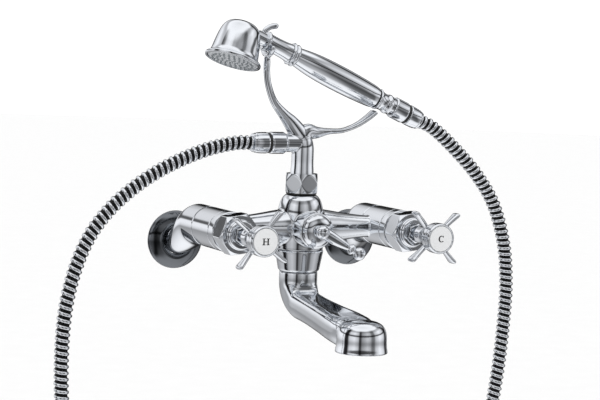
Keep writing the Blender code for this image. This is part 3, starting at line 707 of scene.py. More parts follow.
def build_body():
    column = lathe("column_form", [
        (0, -21.2), (22.8, -21.2, 0.5), (22.9, -8.0, 6.0), (22.7, 8.0, 6.0), (21.9, 17.0, 5.0),
        (20.2, 23.4, 4.0), (18.3, 27.8, 3.0), (16.2, 30.2, 1.4), (14.4, 31.4, 0.6), (12.4, 31.5, 0.2),
        (12.4, 41.4), (0, 41.4),
    ], stand(CENTRE), 160)
    reach = [6.0 + 2.0 * i for i in range(41)]
    outline = [(0, 86.0)] + [(between(ARM_SWELL, x), x) for x in reversed(reach)]
    outline += [(r, -z) for r, z in reversed(outline[1:])] + [(0, -86.0)]
    arms = lathe("arms_form", outline, stand(CENTRE, (1, 0, 0)), 120)
    boss_outline = [(0, 2.0), (16.4, 2.0), (16.4, 34.0, 0.4), (0, 34.0)]
    boss = lathe("boss_form", boss_outline, out_of_wall(CENTRE), 140)
    barrels = []
    for side, at in VALVES.items():
        barrels.append(lathe(f"{side}_barrel_form", [
            (0, BARREL_BACK), (BARREL_RADIUS, BARREL_BACK, 0.5),
            (BARREL_RADIUS, BARREL_FRONT, 0.5), (0, BARREL_FRONT),
        ], out_of_wall(at), 150))
    body = casting("mixer_casting", [column, arms, boss, *barrels], voxel=0.55, relax=12)
    return fitted(body, chrome_of_casting, "tap", "mixer_body")


build_body()


# %% [markdown]
# ## Hexagons
#
# A nut starts as hexagon bar. Turning down its ends at 30 degrees takes the six corners off and leaves
# an arch on every flat, which on a short nut makes each flat look like a round coin. Both shapes are
# just a limit on the radius at an angle and a height, so the nut's skin is the smaller of the two, with
# a soft change between them that stands for the worn edge.

# %% A hexagon nut
EDGE_SOFTNESS = 0.14


def softest(values):
    """The smallest of some lengths, rounded over by about EDGE_SOFTNESS where two are nearly equal."""
    low = min(values)
    return low - EDGE_SOFTNESS * math.log(sum(math.exp(-(v - low) / EDGE_SOFTNESS) for v in values))


def flat_limit(angle, corner_radius):
    """How far out the flats of a hexagon let the nut reach at an angle."""
    across = corner_radius * math.cos(math.pi / 6)
    limits = []
    for k in range(6):
        off = math.cos(angle - math.pi / 6 - k * math.pi / 3)
        if off > 0.3:
            limits.append(across / off)
    return softest(limits)


def nut(name, corner_radius, low, high, face_radius, chamfer, bore, where, around=360):
    """A chamfered hexagon nut from low to high along its axis, with a round bore."""
    slope = (corner_radius - face_radius) / chamfer
    # Rows lie close together at both ends, where the edge is rounded over.
    heights = [low, low + 0.06, low + 0.15, low + 0.3]
    inner = [low + 0.3 + (high - low - 0.6) * i / 36 for i in range(1, 36)]
    heights += inner + [high - 0.3, high - 0.15, high - 0.06, high]
    angles = [math.tau * k / around for k in range(around)]
    flats = [flat_limit(a, corner_radius) for a in angles]
    rows = [([bore] * around, low), ([face_radius - 1.2] * around, low)]
    for z in heights:
        cone = face_radius + slope * min(z - low, high - z)
        rows.append(([softest((flat, cone)) for flat in flats], z))
    rows += [([face_radius - 1.2] * around, high), ([bore] * around, high)]
    verts = [(r * MM * math.cos(a), r * MM * math.sin(a), z * MM)
             for radii, z in rows for r, a in zip(radii, angles)]
    made = mesh_object(name, verts, bands(len(rows), around, closed=True), 32.0)
    made.data.transform(where)
    return made


def merged(name, objects):
    """Several turned or skinned meshes as one piece."""
    mesh = joined_mesh(name, objects)
    for obj in objects:
        bpy.data.objects.remove(obj)
    return in_scene(name, mesh)


# %% [markdown]
# ## The valves' headwork
#
# Each barrel is closed by a collar and the hexagon headwork that screws into it. From the headwork's
# round nose comes the spindle, through a small gland nut that squeezes the packing.

# %% Collars, headworks and glands
HEX_TURN = 8.0
GLAND_TURN = 20.0


def build_headwork(side):
    axis = out_of_wall(VALVES[side])
    collar = lathe(f"{side}_collar", [
        (13.4, 29.4), (18.9, 29.4, 0.2), (BARREL_RADIUS, 29.9, 0.3), (BARREL_RADIUS, 39.3, 0.5),
        (18.2, 40.0, 0.3), (13.4, 40.0),
    ], axis, 150)
    fitted(collar, chrome, "tap", f"{side}_bonnet_collar")
    hexagon = nut(f"{side}_hexagon", corner_radius=20.8, low=40.35, high=60.8, face_radius=17.6, chamfer=3.2,
                  bore=6.0, where=out_of_wall(VALVES[side], HEX_TURN))
    nose = lathe("nose", [
        (7.4, 60.0), (14.4, 60.0), (14.4, 62.4, 0.5), (13.6, 63.2, 0.4), (13.6, 64.6, 0.8),
        (12.4, 65.8, 0.6), (9.0, 66.0, 0.3), (7.4, 65.0),
    ], axis, 120)
    fitted(merged(f"{side}_headwork", [hexagon, nose]), chrome, "tap", f"{side}_bonnet")
    gland = nut(f"{side}_gland", corner_radius=9.6, low=66.2, high=71.4, face_radius=8.1, chamfer=1.0,
                bore=4.4, where=out_of_wall(VALVES[side], GLAND_TURN), around=240)
    fitted(gland, chrome, "tap", f"{side}_gland_nut")


for side in VALVES:
    build_headwork(side)


# %% [markdown]
# ## The cross handles
#
# The handle is a casting with four blades, thin across and deep along the axis, that flare towards
# round ends. The blades grow out of a waisted hub with small fillets, and the hub opens into a round
# cup for the index button. It all turns with the valve's spindle, so it rides on the handle's body.

# %% Cross handles
HANDLE_TURN = {"hot": 52.0, "cold": 42.0}
HANDLE_BODY = {"hot": "hot_handle", "cold": "cold_handle"}
BLADE_PLANE = 103.0
# Depth along the axis and width across, at distances from the handle's axis.
BLADE_DEPTH = [(6.0, 7.0), (14.0, 7.2), (20.0, 8.2), (26.0, 10.2), (30.0, 12.0), (31.5, 12.0), (32.6, 10.4),
               (33.0, 7.6)]
BLADE_WIDTH = [(6.0, 5.2), (12.0, 4.3), (20.0, 4.1), (28.0, 4.4), (31.0, 4.2), (32.4, 2.8), (33.0, 1.2)]
BLADE_ROOT = 6.0
BLADE_REACH = 27.0


def blade_form(name, angle, where):
    """One blade as a skin over rounded upright sections."""
    out = Vector((math.cos(angle), math.sin(angle), 0))
    across = Vector((-math.sin(angle), math.cos(angle), 0))
    rings = []
    for i in range(46):
        reach = BLADE_ROOT + BLADE_REACH * (i / 45) ** 0.9
        deep, wide = between(BLADE_DEPTH, reach) / 2, between(BLADE_WIDTH, reach) / 2
        ring = []
        for k in range(28):
            t = math.tau * k / 28
            c, s = math.cos(t), math.sin(t)
            x = wide * math.copysign(abs(c) ** 0.75, c)
            z = deep * math.copysign(abs(s) ** 0.85, s)
            ring.append(out * reach + across * x + Vector((0, 0, BLADE_PLANE + z)))
        rings.append(ring)
    return skin(name, rings, where)


def build_handle(side):
    axis = out_of_wall(VALVES[side])
    hub = lathe("hub_form", [
        (0, 77.2), (7.4, 77.2, 0.5), (8.7, 79.0, 1.0), (8.5, 82.0, 2.0), (7.9, 87.0, 3.0),
        (8.6, 93.0, 3.0), (10.6, 98.0, 3.0), (13.4, 102.4, 2.0), (14.3, 105.5, 1.5), (14.3, 110.9, 0.4),
        (0, 110.9),
    ], axis, 120)
    angles = [math.radians(HANDLE_TURN[side] + 90.0 * i) for i in range(4)]
    blades = [blade_form(f"blade_{i}", angle, axis) for i, angle in enumerate(angles)]
    handle = casting(f"{side}_cross_handle", [hub, *blades], voxel=0.34, relax=7)
    fitted(handle, chrome_of_casting, HANDLE_BODY[side], f"{side}_crosshead")


for side in VALVES:
    build_handle(side)


# %% [markdown]
# ## The index buttons
#
# A button is pressed into each handle: a bevelled chrome rim, a fine groove, and a satin disc with the
# letter for hot or cold. A satin finish is a mirror with thousands of fine scratches, so it looks pale
# from every side, and the letter on it is filled with black enamel. The letters are drawn with stems,
# hairlines and small feet, and stand less than a tenth of a millimetre proud, so they cast no shadow.

# %% Finishes of the index buttons
def satin_silver(name):
    """Satin chrome under clear lacquer: pale, with scratches about 0.3 mm apart running across it."""
    material, tree, shader = new_finish(name, "#ECEDEE", 0.15, 0.32)
    stretch = node(tree, "ShaderNodeMapping", links=[("Vector", place_coords(tree))],
                   values=[("Scale", (1 / 0.006, 1 / 0.006, 1 / 0.0003))])
    scratches = node(tree, "ShaderNodeTexNoise", links=[("Vector", stretch.outputs[0])],
                     values=[("Scale", 1.0), ("Detail", 3.0)])
    rough = node(tree, "ShaderNodeMapRange", links=[("Value", scratches.outputs["Fac"])],
                 values=[("To Min", 0.2), ("To Max", 0.42)])
    tree.links.new(rough.outputs["Result"], shader.inputs["Roughness"])
    raised(tree, shader, scratches.outputs["Fac"], 0.2, 0.00002)
    return material


def black_enamel(name):
    """Stoved enamel in the letter: glassy black with a slight orange peel 1 mm across."""
    material, tree, shader = new_finish(name, "#101012", 0.0, 0.18)
    raised(tree, shader, patches(tree, 0.001, 2.0), 0.15, 0.00002)
    return material


silver = satin_silver("satin_silver_index")
enamel = black_enamel("black_stove_enamel")


# %% The letters
LETTER_HEIGHT = 6.0
LETTER_INSET = 0.3
LETTER_RISE = 0.08


def bar(x, y, width, height):
    """A straight bar as four corners round its centre."""
    return [(x - width / 2, y - height / 2), (x + width / 2, y - height / 2),
            (x + width / 2, y + height / 2), (x - width / 2, y + height / 2)]


def bow(radius, thick, thin, opening):
    """The round stroke of a C: thick at its back and thin at its two ends."""
    half_width = radius * 0.92
    outer, inner = [], []
    for i in range(41):
        a = math.radians(opening + (360 - 2 * opening) * i / 40)
        width = mix(thin, thick, math.sin(math.pi * i / 40) ** 1.5)
        outer.append((half_width * math.cos(a), radius * math.sin(a)))
        inner.append(((half_width - width) * math.cos(a), (radius - width) * math.sin(a)))
    return outer, inner


def letter_strokes(letter):
    """Convex outlines, in millimetres, that together draw the letter."""
    stem, foot_y = LETTER_HEIGHT * 0.34, (LETTER_HEIGHT - 0.6) / 2
    if letter == "H":
        feet = [bar(x, y, 3.0, 0.6) for x in (-stem, stem) for y in (-foot_y, foot_y)]
        stems = [bar(x, 0, 1.3, LETTER_HEIGHT) for x in (-stem, stem)]
        return [*stems, bar(0, 0, 3.4, 0.7), *feet]
    outer, inner = bow(LETTER_HEIGHT * 0.52, 1.35, 0.55, 48)
    strokes = [[outer[i], outer[i + 1], inner[i + 1], inner[i]] for i in range(40)]
    return [*strokes, bar(2.05, 2.2, 0.65, 1.7), bar(2.05, -2.3, 0.6, 0.9)]


def build_letter(name, letter, where, low, high):
    verts, faces = [], []
    for stroke in letter_strokes(letter):
        base, size = len(verts), (2, len(stroke))
        verts += [(x * MM, y * MM, z * MM) for z in (low, high) for x, y in stroke]
        faces += [tuple(base + k for k in face) for face in end_caps(*size) + bands(*size)]
    mesh = bpy.data.meshes.new(name)
    mesh.from_pydata(verts, [], faces)
    mesh.transform(where)
    return in_scene(name, mesh)


# %% The buttons
BUTTON_RADIUS = 14.3
BUTTON_FACE = 116.7


def build_button(side):
    axis = out_of_wall(VALVES[side])
    rim = lathe(f"{side}_button_rim", [
        (12.2, 111.2), (BUTTON_RADIUS, 111.2, 0.2), (BUTTON_RADIUS, 114.9, 0.8), (13.7, 116.4, 0.5),
        (13.0, 117.0, 0.3), (12.4, 116.4, 0.2), (12.2, 116.0),
    ], axis, 140)
    fitted(rim, chrome, HANDLE_BODY[side], f"{side}_index_button")
    disc = lathe(f"{side}_button_disc", [
        (0, 111.4), (12.0, 111.4, 0.2), (12.0, 116.2, 0.3), (11.4, BUTTON_FACE, 0.2), (0, BUTTON_FACE),
    ], axis, 120)
    fitted(disc, silver, HANDLE_BODY[side], f"{side}_index_button")
    letter = build_letter(f"{side}_letter", "H" if side == "hot" else "C", axis,
                          BUTTON_FACE - LETTER_INSET, BUTTON_FACE + LETTER_RISE)
    letter.data.materials.append(enamel)
    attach(letter, HANDLE_BODY[side])


for side in VALVES:
    build_button(side)


# %% [markdown]
# ## The diverter
#
# A cap closes the body's front boss. From it comes a little lever: a ball on the spindle, a blade that
# thins outwards, a bead, and an oval end to hold. Beads are turned or filed on the pattern.

# %% The diverter's cap and lever
LEVER_TURN = -28.0
LEVER_PLANE = 49.5
# Stations along the lever: reach, half width and half depth.
LEVER_SHAPE = [(0.0, 6.2, 4.1), (8.0, 5.9, 3.8), (16.0, 5.3, 3.4), (24.0, 4.3, 2.9), (30.0, 3.2, 2.4),
               (32.0, 2.9, 2.4), (33.2, 4.3, 3.7), (35.4, 5.3, 4.5), (37.2, 4.6, 3.9), (38.6, 3.1, 2.9),
               (40.2, 4.2, 3.7), (42.4, 5.8, 4.6), (45.0, 6.4, 4.9), (47.6, 5.8, 4.6), (50.0, 3.8, 3.3),
               (51.2, 1.4, 1.3)]


def build_diverter():
    axis = out_of_wall(CENTRE)
    cap = lathe("diverter_cover", [
        (4.4, 34.3), (16.8, 34.3, 0.2), (17.3, 35.4, 0.6), (17.1, 37.6, 0.8), (15.3, 38.5, 0.3),
        (14.7, 39.9, 0.5), (12.8, 41.8, 2.0), (9.4, 43.4, 3.0), (5.6, 44.0, 0.5), (4.4, 44.0),
    ], axis, 150)
    fitted(cap, chrome, "tap", "diverter_cap")
    ball = lathe("lever_ball", [
        (0, 44.3), (4.4, 44.3, 0.3), (6.3, 46.4, 2.0), (6.9, 49.2, 2.6), (6.2, 52.2, 2.0),
        (4.0, 54.2, 1.6), (0, 55.0),
    ], axis, 96)
    angle = math.radians(LEVER_TURN)
    out = Vector((math.cos(angle), math.sin(angle), 0))
    across = Vector((-math.sin(angle), math.cos(angle), 0))
    wide = [(row[0], row[1]) for row in LEVER_SHAPE]
    deep = [(row[0], row[2]) for row in LEVER_SHAPE]
    turns = [math.tau * k / 32 for k in range(32)]
    rings = []
    for i in range(121):
        reach = LEVER_SHAPE[-1][0] * i / 120
        rings.append([out * reach + across * between(wide, reach) * math.cos(t)
                      + Vector((0, 0, LEVER_PLANE + between(deep, reach) * math.sin(t))) for t in turns])
    blade = skin("lever_blade", rings, axis)
    lever = casting("diverter_handle", [ball, blade], voxel=0.26, relax=4)
    fitted(lever, chrome_of_casting, "diverter", "diverter_lever")


build_diverter()


# %% [markdown]
# ## The spout
#
# The spout hangs under the body in a short cup. It is cast: a round leg turns forward in an elbow and
# becomes an arm that is flat on top and round below, then ends in a bell that looks down. The arm's
# section is a squared circle whose squareness grows along the elbow. The bell is turned, its lip
# flares, and its inside is cut out after casting.

# %% The spout's line and sections
# Half width and half height of the spout at shares of its length: round leg, slim arm, wide mouth.
SPOUT_WIDTH = [(0.0, 18.5), (0.05, 18.5), (0.11, 17.9), (0.17, 16.8), (0.23, 15.8),
               (0.30, 15.5), (0.6, 17.4), (0.82, 20.3), (0.92, 20.3), (1.0, 17.0)]
SPOUT_HEIGHT = [(0.0, 18.5), (0.05, 18.5), (0.11, 17.6), (0.17, 15.6), (0.23, 13.9),
                (0.30, 13.4), (0.6, 13.6), (0.82, 14.5), (0.92, 14.2), (1.0, 13.0)]
LEG_TOP = -43.0
LEG_LENGTH = 10.0
ELBOW_RADIUS = 22.0
ARM_DROP = 6.0
ELBOW_TURN = math.radians(90.0 - ARM_DROP)
ARM_LENGTH = OUTLET_OUT - ELBOW_RADIUS - 4.0
SPOUT_LENGTH = LEG_LENGTH + ELBOW_RADIUS * ELBOW_TURN + ARM_LENGTH


def spout_line(s):
    """Distance forward, height and heading a way s along the spout's centre line."""
    arc = ELBOW_RADIUS * ELBOW_TURN
    if s <= LEG_LENGTH:
        return 0.0, LEG_TOP - s, 0.0
    if s <= LEG_LENGTH + arc:
        a = (s - LEG_LENGTH) / ELBOW_RADIUS
        return ELBOW_RADIUS * (1 - math.cos(a)), LEG_TOP - LEG_LENGTH - ELBOW_RADIUS * math.sin(a), a
    rest = s - LEG_LENGTH - arc
    forward = ELBOW_RADIUS * (1 - math.cos(ELBOW_TURN)) + rest * math.sin(ELBOW_TURN)
    height = LEG_TOP - LEG_LENGTH - ELBOW_RADIUS * math.sin(ELBOW_TURN) - rest * math.cos(ELBOW_TURN)
    return forward, height, ELBOW_TURN


def spout_ring(s, around=72):
    """The section a way s along: a circle on the leg, flat on top and rounder below on the arm."""
    forward, height, heading = spout_line(s)
    share = s / SPOUT_LENGTH
    change = smoothstep((share - 0.05) / 0.22)
    half_width, half_height = between(SPOUT_WIDTH, share), between(SPOUT_HEIGHT, share)
    ring = []
    for k in range(around):
        a = math.tau * k / around
        c, sn = math.cos(a), math.sin(a)
        power = 2.0 / mix(2.0, 4.6 if sn > 0 else 2.4, change)
        x = half_width * math.copysign(abs(c) ** power, c)
        up = half_height * math.copysign(abs(sn) ** power, sn)
        ring.append(at_column(x, forward + up * math.cos(heading), height + up * math.sin(heading)))
    return ring


# %% The spout casting
def build_spout():
    arm = skin("arm_form", [spout_ring(SPOUT_LENGTH * i / 90) for i in range(91)])
    mouth_axis = stand(at_column(0, OUTLET_OUT, 0))
    bell = lathe("bell_form", [
        (0, -100.0), (24.1, -100.0, 0.3), (23.9, -98.6, 1.0), (22.9, -93.0, 3.0), (22.8, -85.0, 4.0),
        (21.9, -79.4, 3.0), (19.0, -74.6, 3.0), (13.0, -71.6, 4.0), (0, -70.6),
    ], mouth_axis, 160)
    hollow = lathe("bell_hollow", [
        (0, -104.0), (21.7, -104.0), (21.7, -100.2, 0.4), (20.8, -96.0, 1.0), (19.9, -85.0, 4.0),
        (17.6, -79.0, 3.0), (11.0, -75.8, 3.0), (0, -75.4),
    ], mouth_axis, 128)
    spout = casting("spout_casting", [arm, bell], voxel=0.5, relax=16, cutters=[hollow])
    fitted(spout, chrome_of_casting, "tap", "spout")
    collar = lathe("spout_cup", [
        (13.3, -42.6), (18.2, -42.6, 0.4), (19.9, -41.0, 1.6), (20.7, -36.5, 5.0), (22.3, -28.0, 5.0),
        (23.3, -23.0, 0.8), (22.9, -21.5, 0.3), (13.3, -21.5),
    ], stand(CENTRE), 160)
    fitted(collar, chrome, "tap", "spout_collar")


build_spout()


# %% [markdown]
# ## The flow straightener
#
# Up inside the bell sits a moulded insert that breaks the stream into straight jets. It is a ring with
# a grid of thin walls across it.

# %% The straightener
VANES = 12
VANE_MIDDLE = 11.3
VANE_LENGTH = 11.8
VANE_THICKNESS = 0.7


def upright_ring(inner, outer, low, high, corner=0.0):
    """The outline of a plain ring for the lathe."""
    return [(inner, low, corner), (outer, low, corner), (outer, high, corner), (inner, high, corner)]


def build_straightener():
    axis = stand(at_column(0, OUTLET_OUT, 0))
    rings = [
        lathe("outer_ring", upright_ring(17.0, 19.6, -95.0, -88.2, 0.3), axis, 96),
        lathe("middle_ring", upright_ring(11.2, 12.0, -94.2, -89.0), axis, 72),
        lathe("inner_ring", upright_ring(5.2, 6.0, -94.2, -89.0), axis, 48),
    ]
    for k in range(VANES):
        turn = Matrix.Rotation(math.tau * k / VANES, 4, "Z")
        corners = bar(VANE_MIDDLE, 0.0, VANE_LENGTH, VANE_THICKNESS)
        ends = [[turn @ Vector((x, y, z)) for x, y in corners] for z in (-94.0, -89.2)]
        rings.append(skin(f"vane_{k}", ends, axis))
    fitted(merged("flow_straightener", rings), nylon, "tap", "outlet_insert")


build_straightener()


# %% [markdown]
# ## The riser and the cradle
#
# On top of the body a large nut holds the riser down on a black gasket. The riser is cast with the
# cradle: a slim stem with the hose outlet on its side, which divides into two arms. The left one rises
# to a fork that takes the hand shower's neck, and the right one is a long low branch with a saddle for
# the grip. The arms are skinned from flattened rings along curved centre lines and cast onto the stem.

# %% Riser nut and gasket
NUT_TURN = 4.0


def build_riser():
    gasket_outline = [(12.9, 31.9, 0.2), (14.8, 31.9, 0.4), (14.8, 33.1, 0.4), (12.9, 33.1, 0.2)]
    gasket = lathe("riser_seal", gasket_outline, stand(CENTRE))
    fitted(gasket, rubber, "tap", "riser_gasket")
    riser_nut = nut("riser_hexagon", corner_radius=17.6, low=33.4, high=51.8, face_radius=15.0, chamfer=7.6,
                    bore=11.6, where=stand(CENTRE, spin=NUT_TURN))
    fitted(riser_nut, chrome, "tap", "riser_nut")


build_riser()


# %% The cradle's arms
OUTLET_HEIGHT = 81.0
# Stations of the arms: across, height, half width and half depth.
LEFT_ARM = [(0, 78, 9.5, 8.5), (-4, 88, 9.6, 7.6), (-13, 99.5, 7.8, 5.6), (-23, 109.5, 5.2, 4.6),
            (-32.5, 120.5, 3.7, 4.1), (-38.6, 135, 3.2, 3.9), (-41, 148, 3.1, 3.9), (-41.2, 158, 3.2, 4.2),
            (-41, 164, 2.4, 3.4)]
RIGHT_ARM = [(-3, 84, 9.0, 8.0), (4, 91.5, 8.2, 6.6), (14, 91.3, 5.8, 5.2), (27, 92.6, 3.0, 4.4),
             (42, 93.6, 2.4, 4.2), (56, 98.5, 2.6, 4.8), (67.5, 105.2, 2.9, 6.4), (76.3, 112.0, 2.9, 7.6)]
# Stations of the fork's prongs: across, behind the column's plane, height and radius.
FRONT_PRONG = [(-41, 1, 164.2, 2.8), (-41, -4.6, 165.2, 2.8), (-40.8, -8.8, 167.8, 2.7),
               (-40.5, -11.4, 171, 2.4), (-40.3, -12.1, 173.2, 1.4)]
BACK_PRONG = [(-41, -1, 164.3, 2.7), (-41, 4.6, 165.2, 2.8), (-41, 8.8, 167.8, 2.7),
              (-41.2, 11.8, 172.5, 2.6), (-41, 12.5, 180, 2.7), (-38.8, 12.4, 186.8, 2.8),
              (-33.8, 12.2, 190.8, 2.8), (-28.0, 12.0, 192.0, 2.9), (-25.4, 11.8, 191.2, 2.0)]


def finer(rows):
    """A table of stations with nine more rows between each two."""
    return curve_through([np.array(row, float) for row in rows], 10)


def flat_arm(name, stations, around=36):
    """A cast arm in the column's plane, from stations of (x, height, half width, half depth)."""
    rows = finer(stations)
    rings = []
    for i, (x, z, wide, deep) in enumerate(rows):
        before, after = rows[max(i - 1, 0)], rows[min(i + 1, len(rows) - 1)]
        ahead = Vector((after[0] - before[0], after[1] - before[1])).normalized()
        ring = []
        for k in range(around):
            a = math.tau * k / around
            off = wide * math.cos(a)
            ring.append(at_column(x - ahead.y * off, -deep * math.sin(a), z + ahead.x * off))
        rings.append(ring)
    return skin(name, rings)


def round_rod(name, stations, around=24):
    """A round rod from stations of (x, behind the column's plane, height, radius)."""
    rows = finer(stations)
    line = np.array([row[:3] for row in rows])
    sides, ups = tube_frames(line)
    turns = [math.tau * k / around for k in range(around)]
    rings = []
    for (x, back, z, radius), side_way, up_way in zip(rows, sides, ups):
        centre = at_column(x, -back, z)
        spokes = [Vector(side_way * math.cos(a) + up_way * math.sin(a)) for a in turns]
        rings.append([centre + spoke * radius for spoke in spokes])
    return skin(name, rings)


# %% The cradle casting
def build_cradle():
    stem = lathe("stem_form", [
        (0, 43.7), (12.5, 43.7, 0.3), (12.5, 46.8, 0.3), (11.2, 47.0), (11.3, 53.0, 2.0), (10.7, 61.0, 6.0),
        (10.7, 71.0, 6.0), (10.6, 78.0, 4.0), (8.6, 86.0, 4.0), (4.0, 91.0, 3.0), (0, 92.0),
    ], stand(CENTRE), 120)
    outlet = lathe("outlet_form", [
        (0, 0), (8.7, 0), (8.7, 12.4), (8.7, 19.9, 0.5), (6.8, 19.9), (6.8, 30.2, 0.4), (0, 30.2),
    ], stand(at_column(0, 0, OUTLET_HEIGHT), (-1, 0, 0)), 96)
    forms = [stem, outlet, flat_arm("left_arm", LEFT_ARM), flat_arm("right_arm", RIGHT_ARM),
             round_rod("front_prong", FRONT_PRONG), round_rod("back_prong", BACK_PRONG)]
    cradle = casting("cradle_casting", forms, voxel=0.42, relax=26)
    return fitted(cradle, chrome_of_casting, "tap", "cradle")


build_cradle()


# %% [markdown]
# ## The hose ends
#
# Both ends of the hose are the same: a round union nut, a black ring, and a smooth ferrule that the
# wound strip is crimped into. They are turned. The lower set stays with the tap and the upper set goes
# with the hand shower.

# %% Hose ends
HANDSET_TILT = 23.5
HANDSET_START = at_column(-46.0, 0.0, 179.0)
HANDSET_SEAT = 154.0
SLOPE = math.radians(HANDSET_TILT)
HANDSET_WAY = Vector((math.cos(SLOPE), 0.0, -math.sin(SLOPE)))


def build_hose_end(name, where, body, nodes):
    shell = lathe(f"{name}_union_nut", [
        (7.2, 0.4), (9.6, 0.4, 0.3), (10.5, 1.5, 0.6), (10.5, 14.7, 0.8), (9.8, 16.0, 0.4), (5.2, 16.0),
        (5.2, 12.4), (7.2, 12.4),
    ], where)
    fitted(shell, chrome, body, f"{nodes}_nut")
    band_outline = [(5.4, 16.3), (9.8, 16.3, 0.3), (9.8, 18.3, 0.3), (5.4, 18.3)]
    band = lathe(f"{name}_black_ring", band_outline, where)
    fitted(band, rubber, body, f"{nodes}_ring")
    ferrule = lathe(f"{name}_crimped_ferrule", [
        (4.6, 18.6), (9.8, 18.6, 0.3), (10.2, 19.6, 0.6), (10.1, 26.0, 2.0), (9.6, 30.6, 1.0),
        (9.0, 31.4, 0.4), (9.0, 33.0, 0.6), (8.4, 34.0, 0.4), (4.6, 34.0),
    ], where)
    fitted(ferrule, chrome, body, f"{nodes}_ferrule")
    return [shell, band, ferrule]


lower_seat = stand(at_column(-20.0, 0, OUTLET_HEIGHT), (-1, 0, 0))
upper_seat = stand(HANDSET_START + HANDSET_WAY * HANDSET_SEAT, HANDSET_WAY)
lower_end = build_hose_end("lower", lower_seat, "tap", "lower_hose")
upper_end = build_hose_end("upper", upper_seat, "handset", "upper_hose")


# %% [markdown]
# ## The hand shower
#
# The handle is turned in several pieces: a neck, a moulding of two beads, a grip that swells in the
# middle and an end collar. The head is a spun bell with a rolled rim, and its face is a nylon plate with
# rings of soft nozzles.

# %% The hand shower's handle
GRIP_START = 38.6
GRIP_END = 133.0
GRIP_SHAPE = [(38.6, 9.2), (44.0, 10.0), (54.0, 11.3), (66.0, 12.2), (80.0, 12.6),
              (95.0, 12.6), (110.0, 12.2), (122.0, 11.6), (130.0, 10.9), (133.0, 10.3)]


def build_handle_pieces():
    axis = stand(HANDSET_START, HANDSET_WAY)
    neck = lathe("turned_neck", [
        (4.8, -8.0), (6.4, -8.0), (6.4, 2.2), (9.0, 2.2, 0.3), (9.6, 3.2, 0.5), (9.3, 4.6, 0.4),
        (8.3, 5.4, 0.6), (8.0, 14.0, 6.0), (8.3, 24.0, 6.0), (9.0, 30.0), (4.8, 30.0),
    ], axis)
    fitted(neck, chrome, "handset", "handset_neck")
    moulding = lathe("beaded_moulding", [
        (5.6, 30.3), (9.2, 30.3, 0.3), (10.6, 30.9, 0.8), (11.3, 32.2, 1.0), (10.4, 33.6, 0.6),
        (9.6, 34.3, 0.4), (10.4, 35.0, 0.6), (11.2, 36.3, 1.0), (10.6, 37.6, 0.6), (9.6, 38.3, 0.3),
        (5.6, 38.3),
    ], axis)
    fitted(moulding, chrome, "handset", "neck_moulding")
    stations = [GRIP_START + (GRIP_END - GRIP_START) * i / 60 for i in range(61)]
    outline = [(6.4, GRIP_START)] + [(between(GRIP_SHAPE, z), z) for z in stations] + [(6.4, GRIP_END)]
    fitted(lathe("swelled_grip", outline, axis, 144), chrome, "handset", "grip")
    seam_outline = [(6.6, 133.3), (9.2, 133.3, 0.3), (9.2, 134.7, 0.3), (6.6, 134.7)]
    seam = lathe("grip_joint_ring", seam_outline, axis)
    fitted(seam, rubber, "handset", "grip_seam")
    collar = lathe("end_collar", [
        (4.4, 135.0), (9.8, 135.0, 0.3), (10.6, 135.8, 0.5), (10.3, 137.0, 0.5), (9.2, 138.6, 1.5),
        (8.6, 141.6, 3.0), (8.7, 145.0, 2.0), (9.7, 147.0, 0.6), (9.9, 148.4, 0.6), (9.3, 149.8, 0.4),
        (9.0, 151.0, 0.4), (9.0, 154.0), (6.8, 154.0), (6.8, 164.2), (4.4, 164.2),
    ], axis)
    fitted(collar, chrome, "handset", "handset_collar")


build_handle_pieces()


# %% The head and its spray plate
HEAD_TILT = 19.0
HEAD_ROLL = -8.0
HEAD_AXIS = (Matrix.Translation(at_column(-77.0, 0.0, 157.5) * MM)
             @ Matrix.Rotation(math.radians(HEAD_TILT), 4, "Y")
             @ Matrix.Rotation(math.radians(HEAD_ROLL), 4, "X"))
# Radius of each ring of nozzles and how many it has.
NOZZLE_RINGS = ((0.0, 1), (5.0, 6), (10.0, 12), (15.0, 18), (19.6, 24))
NOZZLE = [(0, -1.0), (0.35, -1.0), (0.45, -1.3, 0.1), (0.8, -1.3, 0.1), (1.15, 0.6), (0, 0.6)]


def build_head():
    bell = lathe("spun_bell", [
        (0, 40.3), (6.0, 40.0, 3.0), (13.6, 37.6, 5.0), (17.8, 33.0, 4.0), (20.2, 26.0, 6.0),
        (21.8, 17.0, 6.0), (23.0, 7.4, 3.0), (23.8, 4.6, 1.2), (26.2, 3.4, 1.0), (27.3, 2.2, 0.8),
        (27.0, 0.1, 0.6), (24.8, 0.0, 0.3), (24.7, 4.2), (21.6, 4.3), (20.4, 12.0), (18.2, 24.0),
        (15.4, 31.6), (11.0, 35.8), (0, 38.1),
    ], HEAD_AXIS, 160)
    fitted(bell, chrome, "handset", "shower_head")
    plate = lathe("spray_face", [
        (0, -0.5), (3.0, -0.4, 1.0), (7.4, -0.2, 0.3), (7.7, 0.3, 0.2), (8.1, -0.2, 0.2), (12.4, 0.0, 0.3),
        (12.7, 0.5, 0.2), (13.1, 0.0, 0.2), (17.2, 0.2, 0.3), (17.5, 0.7, 0.2), (17.9, 0.2, 0.2),
        (22.4, 0.4, 0.4), (22.8, 1.0, 0.2), (24.3, 1.0, 0.3), (24.3, 2.7), (0, 2.7),
    ], HEAD_AXIS, 128)
    fitted(plate, nylon, "handset", "spray_plate")
    nozzles = []
    for radius, count in NOZZLE_RINGS:
        for k in range(count):
            angle = math.tau * (k + 0.5) / count
            spot = Vector((radius * math.cos(angle), radius * math.sin(angle), 0)) * MM
            nozzles.append(lathe("nozzle", NOZZLE, HEAD_AXIS @ Matrix.Translation(spot), 16))
    jets = merged("spray_nozzles", nozzles)
    jets.data.materials.append(nozzle_rubber)
    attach(jets, "handset")


